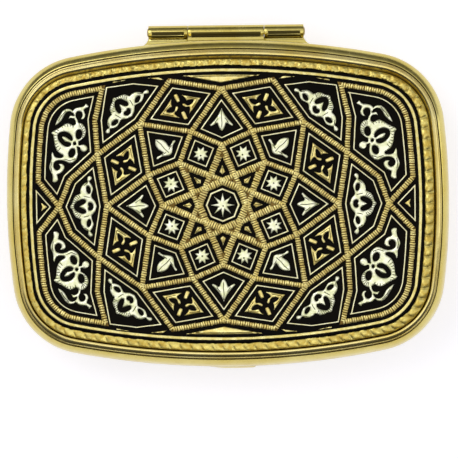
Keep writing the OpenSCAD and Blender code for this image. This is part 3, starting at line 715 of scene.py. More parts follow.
def extrude_x(outline, x0, x1, slots=()):
    """A (y, z) outline carried along x, with its end edges rounded over and slots pressed between its ends."""
    outline = np.asarray(outline, float)
    n, bevel, end, fade, sunk = len(outline), 0.04, 0.42, 0.1, 0.08
    depth = np.zeros(n)
    for first, last, deep in slots:
        depth[first:last] = deep
    toward = np.array([hinge_y, hinge_z]) - outline
    toward /= norm(toward, axis=1)[:, None]
    half = [(0, bevel, 0), (bevel * 0.4, bevel * 0.3, 0), (bevel, 0, 0)]
    if len(slots):
        half += [(end, 0, 0), (end + fade, 0, 1)]
    rows, grime_and_shade = [], []
    for x, d, pressed in [(x0 + x, *rest) for x, *rest in half] + [(x1 - x, *rest) for x, *rest in half[::-1]]:
        loop = inset(outline, d) if d else outline + toward * (sunk * pressed * depth)[:, None]
        rows.append(np.c_[np.full(n, x), loop])
        # the pressed slots get the dark mark as painted shade
        grime_and_shade.append(depth * pressed)
    return np.vstack(rows), tube(len(rows), n), np.concatenate(grime_and_shade)


def about_pin(r, a0, a1, n):
    return [(hinge_y + r * cos(a), hinge_z + r * sin(a)) for a in np.radians(np.linspace(a0, a1, n))]


def hinge_parts():
    """Leaves rolled from sheet: the base leaf's two outer knuckles and the lid leaf's middle one, and the pin."""
    wall, leaf = half_d + 0.005, half_d + 0.45
    low, high = mm_box("base_hinge_leaf")[0][2], mm_box("lid_hinge_leaf")[1][2]
    outer = [(wall, low + 0.05), (wall + 0.08, low), (leaf - 0.1, low), (leaf, low + 0.1), (leaf, hinge_z - 0.95),
             (leaf + 0.04, hinge_z - 0.87)]
    roll, step = 240, 4
    # two slots along the top of each outer knuckle, between these degrees about the pin
    slots = [(len(outer) + (a - roll) // step, len(outer) + (b - roll) // step, deep)
             for a, b, deep in ((450, 476, 0.9), (482, 504, 0.8))]
    outer += about_pin(knuckle_r, roll, 516, 70)
    outer += about_pin(knuckle_r - 0.1, 519, 519, 1) + about_pin(0.5, 519, 519, 1)
    outer += [(leaf - 0.12, hinge_z + 0.1), (leaf - 0.02, hinge_z - 0.06), (wall + 0.04, hinge_z - 0.02),
              (wall, hinge_z - 0.08)]
    below = hinge_z - knuckle_r - 0.2
    parts = [extrude_x(outer, -hinge_half, -knuckle_half - 0.04, slots),
             extrude_x(outer, knuckle_half + 0.04, hinge_half, slots),
             extrude_x([(wall, low), (leaf, low), (leaf, below), (wall, below)], -knuckle_half - 0.3,
                       knuckle_half + 0.3),
             packing(hinge_half - 0.02, low + 0.02, base_h - 0.06), solder(-1, low), solder(1, low)]
    build_joined("hinge_base_leaf", parts, GILT_CASE, "base", "base_hinge_leaf", 30)
    inner = [(wall, high - 0.05), (wall, hinge_z + 0.12), (wall + 0.1, hinge_z + 0.06), (hinge_y - 0.7, hinge_z),
             (hinge_y - 0.62, hinge_z - 0.12)]
    slots = [(len(inner) + 58, len(inner) + 68, 0.85)]
    inner += about_pin(knuckle_r, 222, 478, 65)
    inner += [(leaf + 0.08, hinge_z + 0.86), (leaf + 0.01, hinge_z + 1), (leaf, hinge_z + 1.15), (leaf, high - 0.12),
              (leaf - 0.08, high), (wall + 0.06, high)]
    parts = [extrude_x(inner, -knuckle_half, knuckle_half, slots),
             packing(knuckle_half - 0.02, lid_bottom + 0.02, high - 0.06)]
    build_joined("hinge_lid_leaf", parts, GILT_CASE, "lid", "lid_hinge_leaf", 30)
    end = mm_box("hinge_pin")[1][0]
    profile = [(-end, 0.01), (-end + 0.01, 0.25), (-end + 0.06, 0.45), (-end + 0.13, 0.56), (-hinge_half - 0.01, 0.6),
               (-hinge_half - 0.005, 0.35)]
    profile += [(-x, r) for x, r in profile[::-1]]
    n = 28
    verts = [(x, hinge_y + r * cos(a), hinge_z + r * sin(a)) for x, r in profile
             for a in (2 * pi * k / n for k in range(n))]
    build("pin", verts, tube(len(profile), n), STEEL, "base", "hinge_pin")


def prism(rings):
    """A capped solid through outlines of (x, y, z), as a part with no dark marks."""
    n = len(rings[0])
    return [p for ring in rings for p in ring], tube(len(rings), n), np.zeros(len(rings) * n)


def packing(half, z0, z1):
    """Solder that fills the sliver between a straight leaf and the bowed case wall."""
    xs = np.linspace(-half, half, 25)
    loop = [*zip(xs, wall_y(0.03, xs, 1)), (half, half_d + 0.1), (-half, half_d + 0.1)]
    return prism([[(x, y, z) for x, y in loop] for z in (z0, z1)])


def solder(side, low):
    """Small concave fillet where the end of the base leaf meets the case wall."""
    reach, out, steps, buried = 1.3, 1.55, 9, hinge_half - 0.3
    rings = []
    for z, k in ((low + 0.2, 0.75), (low + 0.35, 1), (hinge_z - 0.35, 1), (hinge_z - 0.12, 0.8)):
        loop = []
        for a in (pi / 2 * i / steps for i in range(steps + 1)):
            x = side * (hinge_half - 0.05 + reach * (1 - sin(a)))
            loop.append((x, wall_y(0.03, x, 1) + out * k * (1 - cos(a)) ** 1.2))
        loop += [(side * buried, loop[-1][1]), (side * buried, wall_y(0.03, side * buried, 1))]
        rings.append([(x, y, z) for x, y in loop])
    return prism(rings)


# ---------------------------------------------------------------- plaque and border

# length of a chisel mark along the ring, and points along each
TILE, PER_TILE = 1.37, 14


def milled_border():
    """Gilt ring, nearly flat: a soft cushion between slanting chisel marks, and a hand-cut inner edge."""
    # the third number of a row is the dark mark: painted shade down the ring's sloping outer and inner edges
    profile = [(0, -0.75, 0.9), (0.015, -0.4, 0.7), (0.04, -0.2, 0.4), (0.09, -0.1, 0.12), (0.16, -0.05, 0),
               (0.26, -0.02, 0), (0.36, -0.01, 0), (0.46, 0, 0), (0.56, 0.01, 0), (0.66, 0.02, 0),
               (0.76, 0.025, 0), (0.86, 0.02, 0), (0.94, 0, 0.05), (0.985, -0.07, 0.45), (1, -0.3, 0.9)]
    middle = plaque_loop(0.5 * border_w)
    tiles = round(along(np.vstack([middle, middle[:1]]))[-1] / TILE)
    n = tiles * PER_TILE
    family = spaced([middle] + [plaque_loop(p[0] * border_w) for p in profile], n)[1:]
    tone = [rng.random() for _ in range(tiles)]
    tilt = [rng.uniform(-1, 1) for _ in range(tiles)]
    bulge = [rng.uniform(-1, 1) for _ in range(tiles)]
    verts, grime_and_shade, tint = [], [], []
    for (t, dz, c), loop in zip(profile, family):
        live = 1 if 0.1 < t < 0.97 else 0
        for j in range(n):
            # which tile this is, and where on it: u runs along the ring, t across it
            pos = (j + 5 * (t - 0.5)) / PER_TILE
            tile, u = int(pos // 1) % tiles, pos % 1
            notch = exp(-(min(u, 1 - u) / 0.06) ** 2) * exp(-((t - 0.45) / 0.3) ** 4)
            disc = max(0, 1 - (2.1 * (u - 0.5)) ** 2 - (1.9 * (t - 0.55)) ** 2)
            rim = exp(-((disc - 0.06) / 0.1) ** 2)
            x, y = loop[j] + PLATE_AT * t
            right, back = min(max(x / 22, 0), 1) ** 2, min(max(y / 14, 0), 1) ** 3
            grain = noise.noise(Vector((x * 4.2, y * 4.2, 5))) * back
            if t > 0.9:
                wobble = noise.noise(Vector((x * 2.6, y * 2.6, 1)))
                push = 0.05 * (1 - (2 * u - 1) ** 2) * (0.4 + bulge[tile]) + 0.05 * wobble - 0.03
                x, y = (x, y) - loop[j] / norm(loop[j]) * push
            lift = (0.03 + 0.09 * right) * disc + 0.03 * tilt[tile] * (u - 0.5) - 0.05 * notch + 0.07 * grain
            verts.append((x, y, plate_z + dz + live * lift))
            # painted shade: dark chisel notches that fade towards the right, dark rings round the cushions on the
            # right, and dark dips at the back
            tile_shade = (0.4 - 0.3 * right) * notch + 0.3 * right * rim + 0.4 * max(0, -grain - 0.1)
            grime_and_shade.append(min(1, c + live * tile_shade * (0.5 + 0.7 * tone[tile])))
            tint.append(0.3 + 0.4 * tone[tile])
    build("tile_border", verts, tube(len(profile), n, True), MILLED, "lid", "milled_border",
          {"grime_and_shade": grime_and_shade, "tint": tint})


def plaque_plate():
    """Steel plate with a slightly sunk edge."""
    rows = [(border_w, plate_low[2])]
    rows += moved(border_w, plate_z, [(0, -0.05), (0.05, -0.01), (0.2, 0), (3, 0)])
    sweep("steel_plate", ring_rows(rows, plate_loop), BLACK, "lid", "plaque_plate")


# ---------------------------------------------------------------- the pattern

# the middle of the rosette, and the radii of the three rings of crossings about it
SHIFT = np.array([-0.6, 0.1])
STAR_R, SQUARE_R, KITE_R = 7.7, 10.2, 14.85
# half the width of a band, the pale line's two edges in from its middle, and the band along the border
BAND = 0.31
FRAME_OUT, FRAME_IN = 0.76, 0.93
FIELD_IN = 2.2
# crossings of the bands outside the rosette
SIDE_KNOT = {1: (21.2, 0), -1: (20.95, 0)}
SIDE_BEND = {1: (19.95, 3.42), -1: (19.5, 3.42)}
UPPER_BEND = (16.2, 11.05)
HEART_PEAK, HEART_FOOT = (11.2, 16.45), (15.35, 15.9)
BAND_END_X, SIDE_BAND_Y = 15.2, 3.3
# the openings about the centre star, and the small holes round it
OCTAGON_R, HOLES_AT, HOLE_R = 2.63, 3.33, 0.15
DART = [(0, 6.2), (-1.08, 3.83), (-0.6, 3.55), (0, 3.46), (0.6, 3.55), (1.08, 3.83)]
# the hatching bars of the bands, and where the motifs sit
BAR_PITCH, BAR_H = 0.3, 0.075
TULIPS_AT, FLOWERS_AT = 11.4, 13.75
SIGNS = [(1, 1), (-1, 1), (-1, -1), (1, -1)]


def polar(r, degrees):
    return np.array([r * cos(radians(degrees)), r * sin(radians(degrees))])


def star_tip(k):
    return polar(STAR_R, 45 * k)


def square_tip(k):
    return polar(SQUARE_R, 45 * k + 22.5)


def kite_tip(k):
    return polar(KITE_R, 45 * k)


def rhomb_tip(k):
    return kite_tip(k) + kite_tip(k + 1) - square_tip(k)


def star_notch(k):
    return polar(STAR_R * cos(radians(67.5)) / cos(radians(45)), 45 * k + 22.5)


def quadrant(points, sx=1, sy=1):
    """Points of the pattern mirrored into a quadrant and moved to the rosette's middle."""
    return np.array(points, float) * [sx, sy] + SHIFT


def long_edge(x, d):
    """How far the recess outline, moved inwards by d, lies from its long axis at x."""
    r = RECESS_LONG_R - d
    return recess_d - d - r + sqrt(r * r - x * x)


def border_run(sx, sy):
    """The band that follows the border through one quadrant, from the side to the long edge."""
    d = FIELD_IN + BAND
    rs = RECESS_SIDE_R - d
    end_x, end_y = (SHIFT - PLATE_AT) * [sx, sy] + [BAND_END_X, SIDE_BAND_Y]
    low = [recess_w - d - rs + sqrt(rs * rs - end_y * end_y), end_y]
    middle = [p for p in plaque_quarter(d) if p[1] > end_y + 1 and p[0] > end_x + 1]
    return np.array([low] + middle + [[end_x, long_edge(end_x, d)]]) * [sx, sy] + PLATE_AT


def corner_cell(sx, sy):
    return np.vstack([border_run(sx, sy),
                      quadrant([UPPER_BEND, rhomb_tip(0), SIDE_BEND[sx], SIDE_KNOT[sx]], sx, sy)])


def heart_cell(sx, sy):
    return quadrant([rhomb_tip(1), HEART_PEAK, HEART_FOOT, UPPER_BEND, rhomb_tip(0), kite_tip(1)], sx, sy)


def side_cell(sx):
    x, y = SIDE_BEND[sx]
    rx, ry = rhomb_tip(0)
    return quadrant([kite_tip(0), (rx, ry), (x, y), SIDE_KNOT[sx], (x, -y), (rx, -ry)], sx)


def side_triangle(sx):
    return np.vstack([quadrant([SIDE_KNOT[sx]], sx)]
                     + [border_run(sx, sy)[:1] + [1.1 * sx, sy] for sy in (1, -1)])


def network():
    """Outline of the whole lattice."""
    def part(sx, sy):
        return np.vstack([quadrant([SIDE_KNOT[sx]], sx, sy), border_run(sx, sy),
                          quadrant([UPPER_BEND, rhomb_tip(0), kite_tip(1), rhomb_tip(1)], sx, sy)])
    return np.vstack([part(1, 1), quadrant([kite_tip(2)]), part(-1, 1)[::-1], part(-1, -1)[1:],
                      quadrant([kite_tip(6)]), part(1, -1)[::-1][:-1]])


CELLS, BANDS = [], []
for k in range(8):
    star, square, kite, rhomb = star_tip(k), square_tip(k), kite_tip(k), rhomb_tip(k)
    CELLS += [quadrant(cell) for cell in (
        [star_notch(k), star, square, star_tip(k + 1)], [star, square, kite, square_tip(k - 1)],
        [square, kite, rhomb, kite_tip(k + 1)])]
    BANDS += [quadrant(band) for band in (
        [star, square], [square, star_tip(k + 1)], [square, kite], [square, kite_tip(k + 1)], [kite, rhomb],
        [rhomb, kite_tip(k + 1)], [star, star_tip(k + 3)])]
CELLS += [corner_cell(*s) for s in SIGNS] + [side_cell(1), side_cell(-1)]
for s in SIGNS:
    knot = SIDE_KNOT[s[0]]
    BANDS += [quadrant([rhomb_tip(0), SIDE_BEND[s[0]], knot], *s), quadrant([UPPER_BEND, rhomb_tip(0)], *s),
              np.vstack([quadrant([knot], *s), border_run(*s)]),
              np.vstack([border_run(*s)[-1:], quadrant([UPPER_BEND], *s)])]


def nearest(points, others):
    """Distance of each point to the nearest of the others."""
    return np.min(norm(points[:, None] - others[None], axis=2), axis=1)


def patch(loops, step=0.18, rim=0.07, strokes=(), pits=(), fill=True):
    """A flat region cut into triangles: its points, triangles, distances to the edge, and how deep each is cut."""
    loops = [subdivided(loop, step) for loop in loops]
    ground = np.vstack(loops)
    edges = ring_edges(loops)
    extra = [inset(loop, d) for loop in loops for d in (rim, -rim)]
    if fill:
        low, high = ground.min(0), ground.max(0)
        xs, ys = np.arange(low[0], high[0], step), np.arange(low[1], high[1], step * 0.87)
        grid = [(x + (0.5 * step if i % 2 else 0) + rng.uniform(-0.2, 0.2) * step,
                 y + rng.uniform(-0.2, 0.2) * step) for i, y in enumerate(ys) for x in xs]
        extra.append(deep_inside(np.array(grid), loops, rim + 0.4 * step))
    extra = deep_inside(np.vstack(extra), loops, rim * 0.75)
    # each stroke is a groove: its line, cut deep, between two lines at the full height
    lines = [deep_inside(subdivided(line, 0.12, False), loops, 0.03) for line in strokes]
    lines = [line for line in lines if len(line) > 1]
    if lines:
        sides = []
        for line in lines:
            t = np.gradient(line, axis=0)
            t /= norm(t, axis=1)[:, None]
            normal = np.c_[-t[:, 1], t[:, 0]] * 0.055
            sides += [line + normal, line - normal]
        near, sides = np.vstack(lines), deep_inside(np.vstack(sides), loops, 0.02)
        extra = np.vstack([extra[nearest(extra, near) > 0.1], sides[nearest(sides, near) > 0.04]])
    k = len(ground) + len(extra)
    for line in lines:
        edges += [(k + j, k + j + 1) for j in range(len(line) - 1)]
        k += len(line)
    flat = np.vstack([ground, extra] + lines)
    for x, y, r in pits:
        keep = norm(flat - [x, y], axis=1) > r * 1.15
        keep[:len(ground)] = True
        rings = [(x + q * r * cos(a), y + q * r * sin(a)) for q in (0.5, 1)
                 for a in np.linspace(0, 2 * pi, 10, endpoint=False)]
        flat = np.vstack([flat[keep], [(x, y)], rings])
    pts, tris, _ = triangulated(flat, edges, loops)
    used, tris = np.unique(tris, return_inverse=True)
    pts, tris = pts[used], tris.reshape(-1, 3)
    cut = np.zeros(len(pts))
    if lines:
        cut[nearest(pts, near) < 0.012] = 1
    for x, y, r in pits:
        cut[norm(pts - [x, y], axis=1) < r * 0.6] = 1
    return pts, tris, distance(pts, loops), cut


def raise_patch(flat, move, height, rim=0.07, wave=0.012, depth=0.8, tint=0.5):
    """Vertices and faces of a beaten foil over a flat patch, moved into the pattern by move(points)."""
    pts, tris, gap, cut = flat
    where = move(pts)
    n = len(where)
    lift = np.where(gap < 1e-4, 0, np.clip(0.55 + 0.45 * gap / (3 * rim), 0, 1))
    waves = np.array([noise.noise(Vector((x * 1.3, y * 1.3, 3.7))) for x, y in where])
    z = plate_z + height * lift * (1 - depth * cut) + wave * waves * (gap > 1e-4)
    top = np.c_[where, np.maximum(z, plate_z + 0.004)]
    bottom = np.c_[where, np.full(n, plate_z - 0.03)]
    tris = [tuple(t) for t in tris.tolist()]
    rim_edges = {}
    for t in tris:
        for a, b in zip(t, t[1:] + t[:1]):
            key = (min(a, b), max(a, b))
            rim_edges[key] = None if key in rim_edges else (a, b)
    faces = tris + [tuple(i + n for i in t[::-1]) for t in tris]
    faces += [(b, a, a + n, b + n) for a, b in (edge for edge in rim_edges.values() if edge)]
    # the cut lines and pits carry the dark mark as painted shade
    return np.vstack([top, bottom]), faces, np.r_[cut, cut * 0], np.full(2 * n, tint)


def placing(r, degrees, mirror=1):
    """A move that puts a motif at radius r from the rosette with its +Y pointing outwards."""
    c, s = polar(1, degrees - 90)

    def move(p):
        x, y = p[:, 0] * mirror, p[:, 1] + r
        return np.c_[c * x - s * y, s * x + c * y] + SHIFT
    return move


def in_place(points):
    return points


def wires(name, rings, look, node, height, sway=0.018, step=0.45):
    """Thin laid wires with round crowns and a hand-laid wander, each given by outline, inset and width."""
    parts = []
    for cell, out, width in rings:
        rows = []
        for share, lift in ((0, -0.02), (0.04, 0.6), (0.2, 1), (0.8, 1), (0.96, 0.6), (1, -0.02)):
            ring = subdivided(inset(cell, out + width * share), step, like=cell)
            wander = np.array([[noise.noise(Vector((x * 1.1, y * 1.1, seed))) for seed in (0.3, 9.3)]
                               for x, y in ring])
            z = plate_z + np.where(lift > 0, height * lift * (1 + 0.25 * wander[:, 0]), lift)
            rows.append(np.c_[ring + sway * wander, z])
        m, n = len(rows), len(rows[0])
        parts.append((np.vstack(rows), tube(m, n, True), np.zeros(m * n),
                      np.full(m * n, rng.uniform(0.3, 0.7))))
    foils(name, parts, look, node)


def octagon(r):
    return quadrant([polar(r, 90 + 45 * k) for k in range(8)])


def lattice():
    """Bed of the gold bands in a darker gold, painted shade between the bars, then the cross-laid bars that make the
    hatching, each a little different.
    """
    holes = [quadrant(polar(HOLES_AT, 45 * k + 22.5)) for k in range(8)]
    loops = [inset(network(), -BAND)] + [inset(c, BAND) for c in CELLS]
    loops += [placing(0, 45 * k)(np.array(DART, float)) for k in range(8)] + [octagon(OCTAGON_R)]
    flat = patch(loops, 0.5, 0.04, fill=False, pits=[(*hole, HOLE_R) for hole in holes])
    foils("lattice_bed", [raise_patch(flat, in_place, 0.035, 0.04, 0.004, 1.2)], SHADED_GOLD_BED)
    verts, faces, tint = [], [], []
    for run in BANDS:
        line = subdivided(run, 0.1, False)
        s = along(line)
        count = int(s[-1] / BAR_PITCH)
        phase, drift = rng.uniform(0.3, 0.7), rng.uniform(0.3, 0.7)
        long_star = len(run) == 2 and s[-1] > 14
        for i in range(count):
            at = (i + phase) * s[-1] / count + rng.uniform(-0.03, 0.03)
            back, c, ahead = (np.array([np.interp(at + d, s, line[:, 0]), np.interp(at + d, s, line[:, 1])])
                              for d in (-0.05, 0, 0.05))
            t = (ahead - back) / norm(ahead - back)
            skew = rng.uniform(-0.1, 0.1)
            t = np.array([t[0] * cos(skew) - t[1] * sin(skew),
                          t[0] * sin(skew) + t[1] * cos(skew)])
            normal = np.array([-t[1], t[0]])
            half = BAR_PITCH * rng.uniform(0.4, 0.47)
            reach = [BAND + rng.uniform(-0.03, 0.045), BAND + rng.uniform(-0.03, 0.045)]
            if long_star:
                # along the star's long bands the bars also fill the wedges on the side of the rosette's middle
                inner = 0 if np.dot(normal, SHIFT - c) < 0 else 1
                off = abs(at - s[-1] / 2)
                if off < 1.25:
                    reach[inner] += 0.28
                elif 2.9 < off < 5.6:
                    reach[inner] += 0.15 + 0.045 * (off - 2.9)
            if min(norm(c - hole) for hole in holes) < 2 * HOLE_R:
                continue
            height = BAR_H * rng.uniform(0.75, 1.15)
            start = len(verts)
            for u, lift_u in ((-half, 0), (-half * 0.6, 0.9), (half * 0.6, 0.9), (half, 0)):
                for v, lift_v in ((-reach[0], 0), (-reach[0] + 0.05, 0.8), (0, 1), (reach[1] - 0.05, 0.8),
                                  (reach[1], 0)):
                    lift = lift_u * lift_v
                    verts.append((*(c + u * t + v * normal), plate_z + (height * lift + 0.012 if lift else 0)))
            tint += [min(max(drift + rng.uniform(-0.35, 0.35), 0), 1)] * 20
            faces += [(q, q + 5, q + 6, q + 1) for q in (start + a * 5 + b for a in range(3) for b in range(4))]
            faces.append(tuple(start + e for e in (0, 1, 2, 3, 4, 9, 14, 19, 18, 17, 16, 15, 10, 5)))
    build("lattice_bars", verts, faces, GOLD_FOIL, "lid", "gold_lattice",
          {"tint": tint, "grime_and_shade": np.zeros(len(verts))}, crease=60)


def thin_lines():
    """The pale line in each cell, the ring about the centre star, and the plain line along the border."""
    cells = CELLS + [heart_cell(*s) for s in SIGNS] + [side_triangle(1), side_triangle(-1)]
    rings = [(cell, FRAME_OUT, FRAME_IN - FRAME_OUT) for cell in cells] + [(octagon(2.18), 0, 0.22)]
    wires("cell_lines", rings, LINE_FOIL, "frame_lines", 0.06)
    wires("border_wire", [(plate_loop(1.4), 0, 0.38)], EDGE_FOIL, "border_line", 0.07, 0.022, 0.5)


# a point of a motif's outline is (x, y), or (x, y, 1) where the outline has a sharp corner

def smooth(points, steps):
    n = len(points)
    p = np.array([q[:2] for q in points], float)
    tangent = np.array([[0, 0] if len(points[i]) > 2 else (p[(i + 1) % n] - p[i - 1]) / 2 for i in range(n)])
    out = []
    for i in range(n):
        k = (i + 1) % n
        for j in range(steps):
            t = j / steps
            out.append((2 * t ** 3 - 3 * t ** 2 + 1) * p[i] + (t ** 3 - 2 * t ** 2 + t) * tangent[i]
                       + (3 * t ** 2 - 2 * t ** 3) * p[k] + (t ** 3 - t ** 2) * tangent[k])
    return np.array(out)


def both_sides(half):
    return list(half) + [(-q[0],) + tuple(q[1:]) for q in reversed(half) if q[0] > 0.01]


def stretched(points, kx, ky):
    """The points of a motif with its width and height changed."""
    return [(q[0] * kx, q[1] * ky) + tuple(q[2:]) for q in points]


def oval(x, y, rx, ry, degrees=0):
    a = np.linspace(0, 2 * pi, 18, endpoint=False)
    c, s = polar(1, degrees)
    return np.c_[x + rx * np.cos(a) * c - ry * np.sin(a) * s, y + rx * np.cos(a) * s + ry * np.sin(a) * c]


def star_outline(outer, inner):
    return np.array([polar(outer if i % 2 == 0 else inner, 22.5 * i) for i in range(16)])


def hundredths(*points):
    """An outline given in hundredths of a millimetre."""
    return [(x / 100, y / 100, *corner) for x, y, *corner in points]


ARROW_TULIP = hundredths(
    (0, 95, 1), (45, 10), (95, -55), (150, -115, 1), (135, -130), (100, -115), (70, -95), (50, -100, 1),
    (40, -135), (20, -175), (0, -190))
LEAF_TULIP = hundredths(
    (0, 60, 1), (35, 30), (60, -10), (68, -60), (60, -100), (55, -130, 1), (110, -122), (140, -112),
    (165, -120), (160, -142), (130, -145), (100, -155), (60, -185), (25, -210), (0, -215))
FLOWER_LEAF = hundredths(
    (285, -5, 1), (200, 42), (140, 82), (75, 122, 1), (95, 75), (100, 32, 1), (150, 26), (190, 5), (150, -25),
    (100, -33), (75, -10), (60, 12), (40, 14), (32, -5), (60, -38), (100, -50), (100, -80), (70, -130, 1),
    (130, -102), (200, -55))
FLOWER_BAR = hundredths(
    (-22, 65), (0, 55), (22, 65), (24, 150), (0, 162), (-24, 150))
HEART = hundredths(
    (0, 236), (45, 205), (90, 190), (135, 160), (160, 115), (170, 92, 1), (210, 93), (260, 75), (300, 35),
    (320, -10, 1), (350, -2), (385, -12), (395, -42), (370, -65), (342, -50), (320, -30, 1), (290, -55),
    (230, -78), (180, -65), (125, -55), (70, -100), (30, -115), (0, -125))
HEART_HOLE = hundredths(
    (0, 182), (35, 172), (70, 130), (92, 70), (85, 30), (60, 20), (35, 45), (15, 85), (0, 110, 1))
HEART_LOW_HOLE = hundredths(
    (0, -20, 1), (30, -6), (50, -22), (45, -55), (20, -75), (0, -78))
CORNER = hundredths(
    (-75, 205), (-120, 195), (-160, 150), (-175, 90), (-160, 30), (-120, -15), (-75, -42, 1), (-72, -85),
    (-95, -92, 1), (-140, -80), (-185, -110), (-185, -160), (-140, -185), (-100, -160), (-90, -120),
    (-50, -115, 1), (-55, -160), (-60, -220), (-40, -280), (10, -322), (60, -330), (110, -305), (170, -288),
    (220, -295), (260, -315), (275, -360), (260, -400), (220, -420), (185, -395), (182, -365), (205, -338, 1),
    (155, -335), (125, -370), (140, -425), (180, -460), (225, -478, 1), (220, -510), (215, -550), (250, -580),
    (290, -570), (285, -525), (295, -470), (325, -410), (330, -360), (310, -305), (297, -260), (298, -210),
    (285, -172), (270, -205), (250, -240), (200, -255), (150, -250), (140, -225), (190, -195), (230, -150),
    (250, -90), (260, -20), (270, 40), (295, 65, 1), (270, 100), (220, 120), (150, 162), (90, 195), (40, 192),
    (0, 168, 1), (-35, 185), (-40, 215), (-20, 255), (25, 268), (55, 260, 1), (35, 300), (0, 295), (-20, 295),
    (-5, 330), (25, 350), (60, 352), (95, 335), (120, 295), (150, 240), (195, 198), (240, 172, 1), (220, 230),
    (175, 305), (135, 360), (85, 388), (35, 385), (-2, 362, 1), (-35, 395), (-90, 408), (-150, 418),
    (-180, 455, 1), (-220, 420), (-195, 398), (-150, 370), (-172, 310), (-150, 255), (-105, 250, 1),
    (-130, 285), (-130, 325), (-105, 350), (-65, 350), (-42, 315), (-45, 275), (-65, 240))
CRESCENT = hundredths(
    (5, 0), (40, 55), (100, 85), (170, 80), (210, 40), (200, -20), (150, -80), (90, -110), (40, -98),
    (28, -70), (60, -50), (110, -40), (150, 10), (135, 25), (85, 10), (40, -25), (15, -30))


def silver_motifs():
    """The centre star, the small stars and the tulips: beaten foil with punched dots or chased veins."""
    star = patch([star_outline(1.52, 0.6)], 0.16, 0.06, pits=[(0.05, -0.1, 0.1)])
    foils("star_centre", [raise_patch(star, placing(0, 90), 0.1, wave=0.03)], SILVER_FOIL, "centre_star")
    r_star = (norm(star_notch(0)) + SQUARE_R) / 2 - 0.1
    parts = []
    for k in range(8):
        pit = (rng.uniform(-0.25, 0.25), rng.uniform(-0.25, 0.25), 0.12)
        flat = patch([star_outline(1.05 + rng.uniform(-0.05, 0.05), 0.6)], 0.16, 0.06, pits=[pit])
        parts.append(raise_patch(flat, placing(r_star, 45 * k + 22.5), 0.1, wave=0.05,
                                 tint=rng.uniform(0.4, 0.6)))
    foils("stars_small", parts, SILVER_FOIL, "small_stars")
    tulips = []
    for outline, vein, (x0, y0), (x1, y1) in (
            (ARROW_TULIP, [(0.02, 0.7), (-0.05, 0), (0.04, -0.8), (0, -1.4)], (0.5, -0.35), (0.85, -0.85)),
            (LEAF_TULIP, [(0, 0.35), (0.06, -0.3), (-0.04, -1), (0, -1.75)], (0.35, -1.5), (0.8, -1.42))):
        tulips.append(patch([smooth(both_sides(outline), 4)], 0.17, 0.06,
                            [vein, [(x0, y0), (x1, y1)], [(-x0, y0), (-x1, y1)]]))
    foils("tulip_foils", [raise_patch(tulips[k % 2], placing(TULIPS_AT, 45 * k), 0.11, wave=0.04,
                                      tint=rng.uniform(0.4, 0.6)) for k in range(8)], SILVER_FOIL, "tulips")


def gold_patch(flat, move, tint=0.5):
    return raise_patch(flat, move, 0.08, 0.05, 0.03, tint=tint)


def gold_motifs():
    """The four-petal flowers and the darts about the centre star."""
    leaf = patch([smooth(FLOWER_LEAF, 3)], 0.17, 0.05, [[(2.3, 0), (1.7, 0.42), (1.2, 0.62)],
                                                        [(2.3, -0.1), (1.7, -0.5), (1.3, -0.78)]])
    bar, low_bar = (patch([smooth(outline, 3)], 0.15, 0.05)
                    for outline in (FLOWER_BAR, [(x, -0.22 - y) for x, y in FLOWER_BAR]))
    parts = []
    for k in range(8):
        a, tint = 45 * k + 22.5, rng.uniform(0.35, 0.65)
        parts += [raise_patch(flat, placing(FLOWERS_AT, a, mirror_x), 0.085, 0.05, 0.03, tint=tint)
                  for flat, mirror_x in ((leaf, 1), (leaf, -1), (bar, 1), (low_bar, 1))]
    foils("flower_foils", parts, GOLD_FOIL, "gold_flowers")
    dart = patch([[(0, 5.1), (-0.36, 4.25), (0, 3.95), (0.36, 4.25)]], 0.15, 0.05, [[(0, 4.9), (0, 4.2)]])
    parts = [gold_patch(dart, placing(0, 45 * k), rng.uniform(0.3, 0.7)) for k in range(8)]
    foils("dart_foils", parts, GOLD_FOIL, "inner_darts")


